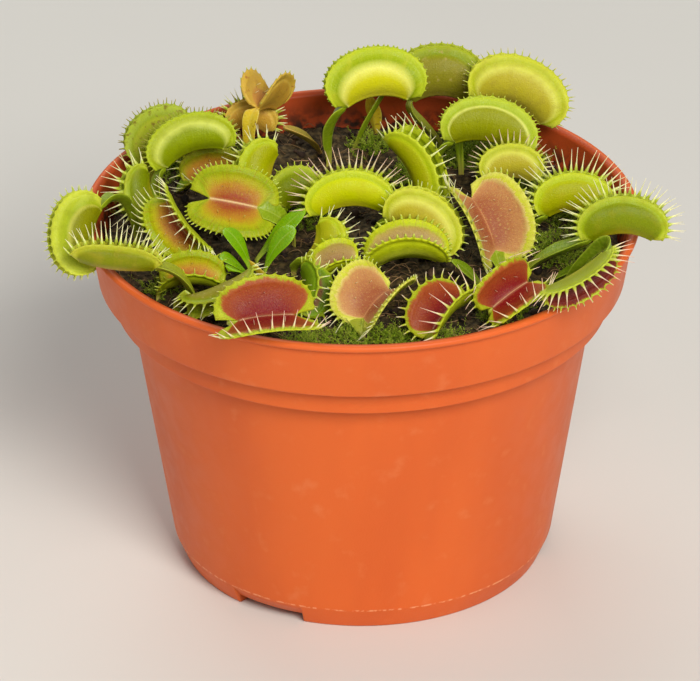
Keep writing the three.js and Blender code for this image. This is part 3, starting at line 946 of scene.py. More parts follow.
class Look(Enum):
    """The skins that the lobes come in."""

    BRIGHT = LobeFinish(0xDCD038, 0xDCD818, 0xF0EE70, 0x98AC00, 0xC0D028, highlight_at=0.6,
                        highlight_width=0.16)
    # BANANA is painted darker towards the hinge, as painted shade from a light above, under its
    # highlight line
    BANANA = LobeFinish(0x7A8400, 0x90A000, 0xD2DA60, 0xA4B008, 0xB8C828, highlight_at=0.74,
                        highlight_width=0.16)
    # a brighter copy of LIME: painted light for trap 7, which lies in its neighbours' shade
    LIME_PAINTED_LIGHT = LobeFinish(0xC4B820, 0xC6CC00, 0xCCD40C, 0xB4C408, 0xCCD830)
    LIME = LobeFinish(0xB8A820, 0xA6AA00, 0xB0B800, 0xB0C008, 0xC8D430)
    PALE = LobeFinish(0xA49038, 0xBCB02C, 0xD8D858, 0xB4BC10, 0xD4D840, highlight_at=0.76,
                      highlight_width=0.13)
    RINGED = LobeFinish(0x747800, 0x888A00, 0xB8B840, 0xA0B010, 0xCCD440, highlight_at=0.62,
                        highlight_width=0.07)
    NEON = LobeFinish(0x949400, 0x959A00, 0xDCE070, 0xA4B810, 0xC0D038, highlight_width=0.05)
    GREEN = LobeFinish(0x9C9410, 0x7A8800, 0x808E04, 0x96A806, 0xB8C434)
    OLIVE = LobeFinish(0xA09038, 0x908A20, 0x8E9210, 0x8A9C08, 0xACB828, blotches=0.35,
                       blotch=0xB4A458)
    SPOTTED = LobeFinish(0x989828, 0x98A218, 0xA4AC28, 0x90A018, 0xB0C03C, blotches=0.5,
                         blotch=0x74581C)
    GOLDEN = LobeFinish(0xB09830, 0x7E8400, 0x8C9408, 0xA4A818, 0xC0C438, 0xC89060, 0xA05830,
                        0xB08040, 0xB0A038, 0.6)
    BLUSH = LobeFinish(0x8A9408, 0x8E9A0C, 0xB0BC20, 0xC8CC28, 0xE0E060, 0xE0A068, 0xA05838,
                       0xCC945C, 0xDCC870, 0.76, 0.1)
    BEIGE = LobeFinish(0x7A8A08, 0xA6B80C, 0xCCD638, 0xB4C010, 0xCCD81C, 0xB08A58, 0x946C44,
                       0xB49A58, 0xC0AC54, 0.7, 0.1, 0.45, 0.25)
    RED = LobeFinish(0x909C10, 0x98A414, 0xA6B018, 0xA0B008, 0xB8C428, 0xF0BC88, 0x801014, 0xA04A1C,
                     0xAC6C28, 0.86, 0.05)
    ROOF = LobeFinish(0x9C981C, 0x909A14, 0x98A418, 0xA0B018, 0xC0CC3C, 0xC87850, 0x5C0E12,
                      0x742418, 0x8C4820, 0.92, 0.03)
    ORANGE = LobeFinish(0x949C18, 0x9CA818, 0xA4B018, 0x94A804, 0xAEBC1C, 0xF0D098, 0xA0401C,
                        0xBC8820, 0xB4B010, 0.48, 0.2)
    YELLOW = LobeFinish(0xC08A30, 0xC89C38, 0xD8B44C, 0xCCA83C, 0xD8B448, 0xD8A060, 0xC08040,
                        0xC89444, 0xCCA844, blotches=0.15, blotch=0xA86838)
    TANNED = LobeFinish(0x808410, 0x94980C, 0xACA81C, 0x909C08, 0xB0B828, 0xC89A58, 0xA0582C,
                        0xBC8A28, 0xA89C20, 0.6, 0.15, blotches=0.2, blotch=0x7A4A28)
    DARK = LobeFinish(0x607804, 0x688400, 0x749004, 0x769A04, 0xA8B824, 0x96643C, 0x5C2A14,
                      0x76501C, 0x647A08, 0.6)


class Teeth(Enum):
    """The colours that the teeth come in."""

    CREAM = TeethFinish(0xB4C418, 0xF0EEAC, 0xF2E8B8)
    PINK = TeethFinish(0xB4C418, 0xF0DCB4, 0xE8B09C)
    GREEN = TeethFinish(0xB0C018, 0xD8DC60, 0xE2DE90)
    BROWN = TeethFinish(0xA0A820, 0xAC8C48, 0x7E5838)


class Blade(Enum):
    """The colours that the stalks and plain leaves come in."""

    FRESH = StalkFinish(0xB8A850, 0x829C08, 0x94AA10)
    DEEP = StalkFinish(0xA89C44, 0x6A8606, 0x829C0C)
    OLIVE = StalkFinish(0xB4A058, 0x949A18, 0xA0A824, 0.38)
    SPOON = StalkFinish(0xA8AC40, 0x74A800, 0x88B806, 0.22, 0.0, 0x9CC414)
    YELLOW = StalkFinish(0xB8A040, 0xDCC020, 0xE4BC30, 0.42, 0.06, 0xECD870)
    DRIED = StalkFinish(0x8A6434, 0xA89A30, 0xC0A040, 0.55, 0.25, 0xE0B060)


@dataclass(frozen=True)
class Form:
    """How far a trap has closed, in degrees from the plane that halves it.

    root is the lobe's angle where it leaves the hinge, margin its angle at the margin, teeth the
    teeth's angle, arc half the angle that the hinge bends through, and spread how far the margin
    reaches past the hinge's ends, in hinges. plump is how far the lobe's face swells, as a share
    of its width.
    """

    root: float
    margin: float
    teeth: float
    arc: float
    spread: float
    plump: float


class Closing(Enum):
    """The stages from a wide open trap to a shut one."""

    WIDE = Form(84, 62, 52, 10, 1.85, 0.02)
    OPEN = Form(66, 40, 16, 13, 1.8, 0.02)
    CUP = Form(66, 26, 4, 22, 1.5, 0.03)
    AJAR = Form(60, 14, -4, 28, 1.28, 0.06)
    VEE = Form(48, 10, 4, 12, 1.28, 0.02)
    CLAM = Form(60, -40, -12, 30, 1.28, 0.05)
    SHUT = Form(62, -48, -30, -12, 1.28, 0.07)


def peat_level(x: Array, y: Array) -> Array:
    """The peat's height, PEAT_LEVEL plus low mounds: a product of two waves, and a slanting one."""
    mounds = np.sin(0.21 * x + 0.7) * np.cos(0.17 * y - 0.4) + 0.5 * np.sin(0.43 * y + 0.31 * x)
    return PEAT_LEVEL + MOUNDS * mounds / 1.5


def curve(ends: Sequence[Array], u: Array) -> Array:
    """Points along the curve that three or four points pull on.

    Their weights are (1 - u)^2, 2 u (1 - u) and u^2, or (1 - u)^3, 3 u (1 - u)^2, 3 u^2 (1 - u) and
    u^3.

    Args:
        ends: its three or four points.
        u: places along it, from 0 to 1.

    Returns:
        A point for each place.
    """
    u = u[:, None]
    if len(ends) == 3:
        weights = ((1 - u) ** 2, 2 * u * (1 - u), u ** 2)
    else:
        weights = ((1 - u) ** 3, 3 * u * (1 - u) ** 2, 3 * u ** 2 * (1 - u), u ** 3)
    return sum(w * p for w, p in zip(weights, ends))


def rooted(root: Pair) -> tuple[Array, Array]:
    """Where a leaf comes out of the peat, and the two points under it that it starts from."""
    foot = np.array([*root, float(peat_level(*np.array(root))) + ROOT_RISE])
    return foot, foot - UP * np.array([[ROOT_SINK], [ROOT_SINK / 2]])


@dataclass
class Ribbon:
    """A blade along a path, folded up along its midrib.

    half is its half width at each point of the path, fold how far its halves fold up, and thick
    and rib half its thickness and the midrib's height.
    """

    path: Array
    side: Array
    half: Array
    along: Array
    fold: float = 0.35
    thick: float = 0.42
    rib: float = 0.32
    columns: int = 13

    FOLD_POWER = 1.4
    RIB_WIDTH = 0.16
    SLIM_BELOW = 0.8

    def surface(self, finish: int) -> Surface:
        """The blade as two skins.

        At w across, from -1 to 1, the middle surface is path + half w side + fold half |w|^1.4 up;
        the skins lie half a thickness off it, which thins towards the edges. The lower one swells
        by rib exp(-(w/0.16)^2) under the midrib, and the upper one sinks by 0.4 of that.

        Args:
            finish: the number of the finish in the piece's list.

        Returns:
            The closed blade.
        """
        run = unit(np.gradient(self.path, axis=0))
        side = unit(self.side - run * (self.side * run).sum(-1, keepdims=True))
        up = np.cross(run, side)
        up = up * (1 if up[:, 2].sum() > 0 else -1)
        w = np.sin(np.linspace(-1, 1, self.columns) * np.pi / 2)[None, :, None]
        half = self.half[:, None, None]
        lift = self.fold * half * np.abs(w) ** self.FOLD_POWER
        middle = self.path[:, None] + half * w * side[:, None] + lift * up[:, None]
        slim = np.minimum(1, half / self.SLIM_BELOW)
        skin = slim * self.thick * np.sqrt(1.04 - w ** 2) * (0.6 + 0.4 * (1 - w ** 2))
        keel = slim * self.rib * np.exp(-((w / self.RIB_WIDTH) ** 2))
        upper = middle + (skin - 0.4 * keel) * up[:, None]
        lower = middle - (skin + keel) * up[:, None]
        shape = (len(self.path), self.columns)
        along = np.broadcast_to(self.along[:, None], shape)
        across = np.broadcast_to(w[..., 0], shape)
        marks = {"along": np.stack([along] * 2, -1), "edge": np.stack([np.abs(across)] * 2, -1)}
        return shell(upper, lower, marks, np.stack([across, along], -1), finish)


@dataclass(frozen=True)
class Fringe:
    """How a trap's teeth stand. A pair is for the lobe at -across, then for the one at +across.

    count is the number of teeth on a margin, lean their extra tilt in degrees, share their length
    as a share of the trap's longest, and ends the share that the teeth beside the stalk, and at
    the far end, have of that. bead is the radius of teeth so short that they are stubs.
    """

    count: int = 15
    lean: Pair = (0.0, 0.0)
    share: Pair = (1.0, 1.0)
    ends: Pair = (0.62, 0.62)
    bead: float = 0.2


@dataclass
class TrapLeaf:
    """A leaf that ends in a trap.

    root is where the stalk stands in the peat, hinge the middle of the hinge, turn the hinge's
    heading and pitch and the trap's roll about it in degrees, size the hinge's length and the
    lobe's width, and tooth the longest teeth's length. wing is the stalk's half width.

    LIP, GROOVE and SCALLOP shape the margin and WAVE and RIPPLE swell the lobes, in millimetres.
    TOOTH_SPREAD, in degrees, FAN_SPREAD, TOOTH_LENGTHS and TOOTH_CURL are how much one tooth
    differs from the next. A tooth longer than the first of STUBS is a full one, and one shorter
    than the second a stub.
    """

    number: int
    root: Pair
    hinge: Triple
    turn: Triple
    size: Pair
    closing: Closing
    tooth: float
    look: Look
    fringe: Fringe = Fringe()
    teeth: Teeth = Teeth.CREAM
    blade: Blade = Blade.FRESH
    wing: float = 2.4

    FLARE = 1.2
    SWEEP = 0.955 * np.pi / 2
    ROUNDNESS = 0.62
    HALF_THICK = 0.34
    HANDLE = 0.35
    FAN = (0.9, 0.25)
    STAGGER = 0.25
    ROWS = (
        0.022, 0.05, 0.11, 0.2, 0.31, 0.43, 0.55, 0.66,
        0.74, 0.79, 0.83, 0.87, 0.91, 0.945, 0.975, 1.0,
    )
    COLUMNS_PER_TOOTH = 6
    TOOTH_STATIONS = (0.0, 0.06, 0.16, 0.36, 0.68, 1.0)
    MARGIN_SHARE = 0.94
    LIP = 0.45
    GROOVE = 0.1
    SCALLOP = 0.4
    WAVE = 0.12
    RIPPLE = 0.07
    HINGE_RIB = 0.14
    HINGE_KEEL = 0.3
    RIDGE_WIDTH = 0.5
    SEAM_WIDTH = 0.26
    CORNER = 1.6
    TOOTH_SEAT = 0.955
    TOOTH_SPREAD = 5
    TOOTH_LENGTHS = (0.82, 1.06)
    TOOTH_CURL = (0.02, 0.16)
    LAST_TOOTH = 0.97
    FAN_SPREAD = 0.06
    STUBS = (2.8, 1.6)
    TRIGGER = 1.5
    STEM = 0.7
    STALK_STATIONS = 34
    NECK = (0.48, 0.3)

    def __post_init__(self) -> None:
        """Works out the trap's three directions and the sizes of its arc."""
        a, b, g = np.radians(self.turn)
        level = np.array([np.cos(a), np.sin(a), 0.0])
        self.along = level * np.cos(b) + UP * np.sin(b)
        rise = UP * np.cos(b) - level * np.sin(b)
        self.mouth = rise * np.cos(g) - np.cross(rise, self.along) * np.sin(g)
        self.across = np.cross(self.mouth, self.along)
        self.half = self.size[0] / 2
        self.reach = self.half * self.closing.value.spread
        self.radius = self.half / np.radians(self.closing.value.arc)
        self.random = np.random.default_rng(400 + self.number)
        self.drift = self.random.uniform(0, 2 * np.pi, 3)

    @property
    def name(self) -> str:
        """The leaf's node."""
        return f"trap_leaf_{self.number:02d}"

    def point(self, psi: Array, v: Array) -> Array:
        """The lobes' middle surface.

        The hinge is an arc. A lobe leaves it at the root angle and bends evenly to its margin
        angle; its width is size[1] cos(psi)^0.62, so the margin sweeps round a half-moon as psi
        goes from end to end, while v goes from one margin, -1, through the hinge to the other.

        Args:
            psi: the place along the margin, an angle.
            v: the place from margin to margin.

        Returns:
            Points, in the shape that psi and v broadcast to, by 3.
        """
        psi, v = np.broadcast_arrays(psi, v)
        root, margin = np.radians([self.closing.value.root, self.closing.value.margin])
        bend = (margin - root) / self.size[1]
        t = np.abs(v)
        turned = root + bend * self.size[1] * np.cos(psi) ** self.ROUNDNESS * t
        out = self.radius + (np.sin(turned) - np.sin(root)) / bend
        aside = np.sign(v) * (np.cos(root) - np.cos(turned)) / bend
        phi = (self.half + (self.reach - self.half) * t ** self.FLARE) * np.sin(psi) / self.radius
        return (
            np.array(self.hinge)
            + (out * np.sin(phi))[..., None] * self.along
            + (out * np.cos(phi) - self.radius)[..., None] * self.mouth
            + aside[..., None] * self.across
        )

    def normal(self, psi: Array, v: Array) -> Array:
        """The unit normal on the side of the mouth, from neighbouring points.

        Args:
            psi: the place along the margin, an angle.
            v: the place from margin to margin.

        Returns:
            The unit normals.
        """
        step = 0.012
        p = np.clip(psi, step - self.SWEEP, self.SWEEP - step)
        along = self.point(p + step, v) - self.point(p - step, v)
        return unit(np.cross(along, self.point(p, v + step) - self.point(p, v - step)))

    def spacing(self) -> float:
        """The angle from one tooth to the next."""
        return 2 * self.SWEEP * self.MARGIN_SHARE / (self.fringe.count - 1)

    def skin(self, psi: Array, v: Array) -> tuple[Array, Array]:
        """The middle surface with its swellings, and the normals that it is thickened along.

        The face swells outwards by plump width sin(pi t / 0.84)^0.8, t being |v|, and the margin
        flares out by 0.45 mm behind a shallow groove. It is scalloped, drawn out by 0.4 mm at each
        tooth as a cosine's cube, and long waves of 0.12 mm keep the lobes from being exact.

        Args:
            psi: the place along the margin, a column.
            v: the place from margin to margin, a row.

        Returns:
            The points and the unit normals, on the side of the mouth.
        """
        t = np.abs(v)
        phase = psi / self.spacing() - np.sign(v) * self.STAGGER
        odd = 0.5 * ((self.fringe.count - 1) % 2)
        scallop = (0.5 + 0.5 * np.cos(2 * np.pi * (phase - odd))) ** 3
        drawn = self.SCALLOP / self.size[1] * scallop * smooth(0.86, 1, t)
        middle = self.point(psi, v * (1 + drawn))
        normal = self.normal(psi, v)
        ends = np.cos(psi) ** 0.5
        swell = np.sin(np.pi * np.clip(t / 0.84, 0, 1)) ** 0.8
        outwards_by = self.closing.value.plump * self.size[1] * swell * ends
        outwards_by = outwards_by + self.LIP * ends * smooth(0.84, 1.0, t)
        outwards_by = outwards_by - self.GROOVE * ends * np.exp(-(((t - 0.83) / 0.04) ** 2))
        waves = self.WAVE * np.sin(3.1 * psi + self.drift[0]) * np.sin(2.3 * v + self.drift[1])
        waves = waves + self.RIPPLE * np.sin(9 * psi + self.drift[2]) * np.cos(5 * v) * t
        return middle + (waves * smooth(0.05, 0.3, t) - outwards_by)[..., None] * normal, normal

    def lobes(self) -> Surface:
        """Both lobes as two skins.

        The lobe is 0.37 mm thick to each side at the hinge and thins to 0.27 at the margin; margin
        and ends are rounded off. The hinge carries a low rib inside and a keel outside, both
        exp(-(distance / RIDGE_WIDTH)^2) high at a distance from it. The margin mark is 1 less the
        distance to the margin, in lobe widths, and runs on to 1 in the corners; the seam mark is
        exp(-(distance to the hinge / 0.26)^2), and 0 at the hinge's ends.

        Returns:
            The closed lobes, finish 0.
        """
        rows = np.array(self.ROWS)
        v = np.concatenate([-rows[::-1], [0.0], rows])[None, :]
        s = np.linspace(-1, 1, self.COLUMNS_PER_TOOTH * self.fringe.count)
        psi = self.SWEEP * (s * (1.12 - 0.12 * s ** 2))[:, None]
        t = np.abs(v)
        middle, normal = self.skin(psi, v)
        tail = np.abs(psi) / self.SWEEP
        round_margin = np.sqrt(np.clip(1 - (np.maximum(t - 0.94, 0) / 0.066) ** 2, 0.1, 1))
        round_end = np.sqrt(np.clip(1 - (np.maximum(tail - 0.95, 0) / 0.055) ** 2, 0.12, 1))
        half = self.HALF_THICK * (1.1 - 0.3 * t) * round_margin * round_end
        ridge = round_end * np.exp(-((t * self.size[1] / self.RIDGE_WIDTH) ** 2))
        inner = middle + (half + self.HINGE_RIB * ridge)[..., None] * normal
        outer = middle - (half + self.HINGE_KEEL * ridge)[..., None] * normal
        fullness = np.cos(psi) ** self.ROUNDNESS
        margin = 1 - (1 - t) * fullness + self.CORNER / self.size[1] * smooth(0.7, 1.0, tail)
        seam = np.exp(-((t * fullness * self.size[1] / self.SEAM_WIDTH) ** 2))
        seam = seam * smooth(0.96, 0.8, tail)
        shape = inner.shape[:2]
        inside = np.stack([np.ones(shape), np.zeros(shape)], -1)
        marks = {
            "margin": np.stack([np.clip(margin, 0, 1)] * 2, -1), "inner": inside,
            "seam": np.stack([seam] * 2, -1),
        }
        uv = np.stack([np.broadcast_to(psi, shape), np.broadcast_to(v, shape)], -1) / 2 + 0.5
        return shell(inner, outer, marks, uv, 0)

    def fringe_teeth(self) -> Surface:
        """The teeth of both margins.

        A tooth starts at TOOTH_SEAT of the lobe's width and steps out to the margin, and its path
        runs on by length (u way + curl u^2 (towards the other lobe)). Full teeth are 0.05 +
        0.08 (1 - u) + 0.36 (1 - u)^5 wide to each side, short ones a little less, and stubs 0.05 +
        bead (1 - u)^0.7; between the lengths of STUBS one passes into the other.

        Returns:
            The teeth, finish 1.
        """
        form, rng, fringe = self.closing.value, self.random, self.fringe
        k = np.arange(fringe.count) - (fringe.count - 1) / 2
        side = np.repeat([-1.0, 1.0], fringe.count)
        psi = (np.tile(k, 2) + side * self.STAGGER) * self.spacing()
        psi = np.clip(psi, -self.SWEEP * self.LAST_TOOTH, self.SWEEP * self.LAST_TOOTH)
        phi = (self.reach * np.sin(psi) / self.radius)[:, None]
        tangent = np.cos(phi) * self.along - np.sin(phi) * self.mouth
        outward = np.sin(phi) * self.along + np.cos(phi) * self.mouth
        extra = np.where(side < 0, fringe.lean[0], fringe.lean[1])
        unrest = rng.normal(0, self.TOOTH_SPREAD, len(psi))
        lean = np.radians(form.teeth + extra + unrest)[:, None]
        way = outward * np.cos(lean) + side[:, None] * self.across * np.sin(lean)
        fan = unit(np.stack([self.FAN[0] * np.sin(psi), np.cos(psi) + self.FAN[1]], -1))
        askew = rng.normal(0, self.FAN_SPREAD, len(psi))
        fan = fan + np.stack([askew, np.zeros(len(psi))], -1)
        way = unit(fan[:, :1] * tangent + fan[:, 1:] * way)
        share = np.where(side < 0, fringe.share[0], fringe.share[1])
        end = np.where(psi < 0, fringe.ends[0], fringe.ends[1])
        length = self.tooth * share * (end + (1 - end) * np.cos(psi))
        length = length * rng.uniform(*self.TOOTH_LENGTHS, len(psi))
        stub = smooth(*self.STUBS, length)[:, None]
        seat = side[:, None] * np.array([[self.TOOTH_SEAT, 1.0]])
        base, top = self.skin(psi[:, None], seat)[0].swapaxes(0, 1)
        u = np.array(self.TOOTH_STATIONS)
        curl = -side * rng.uniform(*self.TOOTH_CURL, len(psi)) * np.sign(lean[:, 0] + 0.7)
        reach = length[:, None, None] * u[:, None] * way[:, None]
        bow = (length * curl)[:, None, None] * (u[:, None] ** 2) * self.across
        rise = (top - base)[:, None] * smooth(0.0, 0.12, u)[:, None]
        paths = base[:, None] + rise + reach + bow
        slim = np.minimum(1.0, 0.6 + 0.1 * length)[:, None]
        width = slim * (0.05 + 0.08 * (1 - u) + 0.36 * (1 - u) ** 5)
        depth = slim * (0.05 + 0.07 * (1 - u) + 0.08 * (1 - u) ** 4)
        bead = 0.05 + fringe.bead * (1 - u) ** 0.7
        width = width * (1 - stub) + bead * stub
        depth = depth * (1 - stub) + 0.75 * bead * stub
        along = u * (1 - 0.72 * stub)
        return tubes(paths, tangent[:, None], width, depth, 6, {"along": along}, 1)

    def triggers(self) -> Surface:
        """Three fine hairs inside each lobe, 1.5 mm long, standing off the skin.

        Returns:
            The hairs, finish 1.
        """
        side = np.repeat([-1.0, 1.0], 3)
        psi = np.tile([-0.42, 0.0, 0.42], 2)
        v = side * np.tile([0.42, 0.6, 0.42], 2)
        base, way = self.point(psi, v), self.normal(psi, v)
        u = np.array([0.1, 0.5, 1.0])
        half = 0.08 - 0.05 * u
        paths = base[:, None] + self.TRIGGER * u[:, None] * way[:, None]
        return tubes(paths, self.along, half, half, 4, {"along": u[None]}, 1)

    def stalk(self) -> Surface:
        """The winged stalk, on a curve of four points from the peat to the hinge's near end.

        Its handles are 0.35 of its reach, straight up at the foot and along the hinge at the
        trap. The half width grows from 0.7 to the wing's over three quarters of the length, and
        falls off bluntly to a neck of 0.5 close to the trap.

        Returns:
            The closed stalk, finish 2.
        """
        phi = -self.half * np.sin(self.SWEEP) / self.radius
        arrival = self.along * np.cos(phi) - self.mouth * np.sin(phi)
        end = self.point(np.array(-self.SWEEP), np.array(0.0))
        foot, down = rooted(self.root)
        handle = self.HANDLE * np.linalg.norm(end - foot)
        u = np.linspace(0, 1, self.STALK_STATIONS)
        path = curve((foot, foot + UP * handle, end - arrival * handle, end), u)
        past = end + arrival * np.array([[0.7], [1.4]])
        level = np.array([self.root[1] - end[1], end[0] - self.root[0], 0.0])
        level = unit(level if np.linalg.norm(level) > 0.5 else self.across * [1, 1, 0])
        turned = self.across * (-1 if level @ self.across < 0 else 1)
        side = unit(level * (1 - u[:, None]) + turned * u[:, None])
        side = np.concatenate([side[[0, 0]], side, side[[-1, -1]]])
        swell = smooth(0.0, 0.72, u) * smooth(0.97, 0.84, u)
        half = self.STEM + (self.wing - self.STEM) * swell - 0.2 * smooth(0.9, 1, u)
        wave = 1 + 0.06 * np.sin(14 * u + self.drift[0]) * swell
        half = np.concatenate([[ROOT_HALF, ROOT_HALF], half * wave, self.NECK])
        along = np.concatenate([[0, 0], u, [1, 1]])
        path = np.concatenate([down, path, past])
        return Ribbon(path, side, half, along, fold=0.3).surface(2)

    def build(self, shop: Workshop, finishes: dict[str, bpy.types.Material]) -> bpy.types.Object:
        """Puts the leaf into the scene in the place of its node.

        Args:
            shop: the workshop.
            finishes: the materials by their kind.

        Returns:
            The leaf.
        """
        surfaces = [self.lobes(), self.fringe_teeth(), self.stalk()]
        if self.closing not in (Closing.CLAM, Closing.SHUT):
            surfaces.append(self.triggers())
        chosen = [finishes[str(kind)] for kind in (self.look, self.teeth, self.blade)]
        return shop.build(self.name, surfaces, chosen, shop.slots[self.name], [self.name])


@dataclass
class PlainLeaf:
    """A leaf without a trap: from its root through its middle to its tip.

    half is half its greatest width, which lies at the share widest of its length; fullness is
    lower for a blunter outline, and fold is how far its halves fold up.
    """

    name: str
    root: Pair
    middle: Triple
    tip: Triple
    half: float
    widest: float
    blade: Blade
    fullness: float = 0.55
    fold: float = 0.2

    STATIONS = 38
    STEM = 0.7
    TIP = 0.12

    def build(self, shop: Workshop, finishes: dict[str, bpy.types.Material]) -> bpy.types.Object:
        """Puts the blade into the scene, on the curve of three points that its own three lie on.

        Its half width is half sin(pi u^p)^fullness, where p puts the widest place at its share of
        the length. Before that place it stays under a smooth rise from STEM, and it is never less
        than STEM in the lower half and TIP in the upper.

        Args:
            shop: the workshop.
            finishes: the materials by their kind.

        Returns:
            The leaf.
        """
        foot, down = rooted(self.root)
        tip, middle = np.array(self.tip), np.array(self.middle)
        u = 1 - (1 - np.linspace(0, 1, self.STATIONS)) ** 1.4
        path = curve((foot, 2 * middle - 0.5 * foot - 0.5 * tip, tip), u)
        level = unit(np.array([foot[1] - tip[1], tip[0] - foot[0], 0.0]))
        power = np.log(0.5) / np.log(self.widest)
        share = np.clip(np.sin(np.pi * u ** power), 0, 1) ** self.fullness
        stem = self.STEM + (self.half - self.STEM) * smooth(0.0, self.widest, u)
        least = np.where(u < 0.5, self.STEM, self.TIP)
        half = np.maximum(np.minimum(self.half * share, stem), least)
        half = np.concatenate([[ROOT_HALF, ROOT_HALF], half])
        along = np.concatenate([[0, 0], u])
        path = np.concatenate([down, path])
        side = np.broadcast_to(level, path.shape)
        surface = Ribbon(path, side, half, along, self.fold, thick=0.4, rib=0.2).surface(0)
        return shop.build(
            self.name, [surface], [finishes[str(self.blade)]], shop.slots[self.name], [self.name],
        )


@dataclass
class Pot:
    """The moulded pot, turned round its axis, with drain notches and holes cut in it."""

    wall: float = 1.2
    foot: float = 39.2
    foot_width: float = 2.4
    heel: Pair = (41.4, 5.1)
    floor: float = 2.6
    floor_thick: float = 1.6
    body_top: Pair = (50.1, 60.5)
    band: Pair = (53.5, 54.1)
    band_top: float = 66.3
    collar: Pair = (56.8, 58.9)
    lip_bottom: float = 78.4
    lip: float = 60.0
    rim_top: float = 80.0
    bead: float = 0.78
    notch_height: float = 2.2
    notch_width: float = 16.0
    notches: tuple[float, ...] = (-121.0, -1.0, 119.0)
    drain_radius: float = 4.0
    drain_ring: float = 27.0
    drains: int = 6

    CORNER_STEPS = 5
    COLUMNS = 288
    HUB = 0.4
    NOTCH_FLANK = 0.12
    BEAD_ARC = (-75, 95)
    BEAD_STEPS = 11
    PLUG_SIDES = 24
    PLUG = (1.0, 3.5, 6.5)

    def rounded(self, corners: Sequence[tuple[float, float, float]]) -> Array:
        """A profile whose corners are rounded by curves of three points.

        Args:
            corners: radius, height and corner size of each point, in order.

        Returns:
            The profile's points.
        """
        marks = np.array(corners)
        line = [marks[0, :2]]
        u = np.linspace(0, 1, self.CORNER_STEPS)
        for before, here, after in zip(marks, marks[1:], marks[2:]):
            back, on = before[:2] - here[:2], after[:2] - here[:2]
            size = min(here[2], 0.45 * np.linalg.norm(back), 0.45 * np.linalg.norm(on))
            ends = (here[:2] + unit(back) * size, here[:2], here[:2] + unit(on) * size)
            line.extend(curve(ends, u))
        return np.array([*line, marks[-1, :2]])

    def profile(self) -> tuple[Array, Array]:
        """The whole section, from the middle of the underside round the rim to the floor inside.

        Returns:
            The points, and how far each counts as inside, 0 or 1.
        """
        w, top = self.wall, self.floor + self.floor_thick
        outside = self.rounded([
            (self.HUB, self.floor, 0), (self.foot - self.foot_width, self.floor, 0.3),
            (self.foot - self.foot_width, 0, 0.3), (self.foot, 0, 0.5),
            (*self.heel, 0.5), (*self.body_top, 0.35), (self.band[0], self.body_top[1], 0.35),
            (self.band[1], self.band_top, 0.35), (self.collar[0], self.band_top, 0.45),
            (self.collar[1] - 0.1, self.lip_bottom - 0.15, 0.2),
            (self.collar[1] + 0.1, self.lip_bottom + 0.1, 0),
        ])
        a = np.radians(np.linspace(*self.BEAD_ARC, self.BEAD_STEPS))
        centre = np.array([self.lip - self.bead, self.rim_top - self.bead])
        bead = centre + self.bead * np.stack([np.cos(a), np.sin(a)], -1)
        inside = self.rounded([
            (self.collar[1] - w + 0.7, self.rim_top - 0.05, 0),
            (self.collar[1] - w, self.rim_top - 0.6, 0.3),
            (self.collar[0] - w, self.band_top + w, 0.4),
            (self.band[1] - w, self.band_top + w, 0.3),
            (self.band[0] - w, self.body_top[1] + w, 0.3),
            (self.body_top[0] - w, self.body_top[1] + w, 0.4),
            (self.heel[0] - w - 0.2, top, 0.8), (self.HUB, top, 0),
        ])
        points = np.concatenate([outside, bead, inside])
        share = np.repeat([0.0, 0.0, 1.0], [len(outside), len(bead), len(inside)])
        return points, share

    def surface(self) -> Surface:
        """The profile turned round the axis, its foot lifted to the notches' height in them.

        Returns:
            The closed pot, without its drain holes.
        """
        points, share = self.profile()
        half = np.degrees(np.arcsin(self.notch_width / 2 / self.foot))
        flanks = (half - self.NOTCH_FLANK, half + self.NOTCH_FLANK)
        edges = [n + s * flank for n in self.notches for s in (-1, 1) for flank in flanks]
        even = np.linspace(-180, 180, self.COLUMNS, endpoint=False)
        azimuth = np.sort(np.concatenate([even, edges]))
        gaps = np.abs((azimuth[:, None] - np.array(self.notches) + 180) % 360 - 180)
        lift = np.where((gaps < half).any(1), self.notch_height, 0.0)
        a = np.radians(azimuth)[None, :]
        radius = points[:, :1]
        in_foot = radius > self.foot - self.foot_width - 1
        height = np.maximum(points[:, 1:], np.where(in_foot, lift, 0))
        grid = np.stack([radius * np.cos(a), radius * np.sin(a), height + 0 * a], -1)
        hubs = [(0, 0, self.floor), (0, 0, self.floor + self.floor_thick)]
        inside = np.concatenate([np.repeat(share, len(azimuth)), [0, 1]])
        return capped(grid, hubs, {"inside": inside})

    def drain_plugs(self) -> Surface:
        """Upright cylinders where the drain holes are.

        Returns:
            The cylinders.
        """
        a = 2 * np.pi * np.arange(self.drains) / self.drains
        ring = self.drain_ring * np.stack([np.cos(a), np.sin(a), 0 * a], -1)
        ends = ring[:, None] + UP * np.array(self.PLUG)[:, None]
        radius = np.full(3, self.drain_radius)
        return tubes(ends, np.array([1.0, 0, 0]), radius, radius, self.PLUG_SIDES, {}, 0)

    def build(self, shop: Workshop, finish: bpy.types.Material) -> bpy.types.Object:
        """Puts the pot into the scene and cuts its drain holes.

        Args:
            shop: the workshop.
            finish: the plastic.

        Returns:
            The pot.
        """
        pot = shop.build("pot_shell", [self.surface()], [finish], shop.slots["pot"], ["pot"])
        plugs = shop.build("drain_plugs", [self.drain_plugs()], [finish], shop.slots["pot"])
        cut = pot.modifiers.new("drains", "BOOLEAN")
        cut.operation = "DIFFERENCE"
        cut.solver = "EXACT"
        cut.object = plugs
        graph = bpy.context.evaluated_depsgraph_get()
        solid = bpy.data.meshes.new_from_object(pot.evaluated_get(graph))
        pot.modifiers.clear()
        pot.data = solid
        bpy.data.objects.remove(plugs)
        return pot


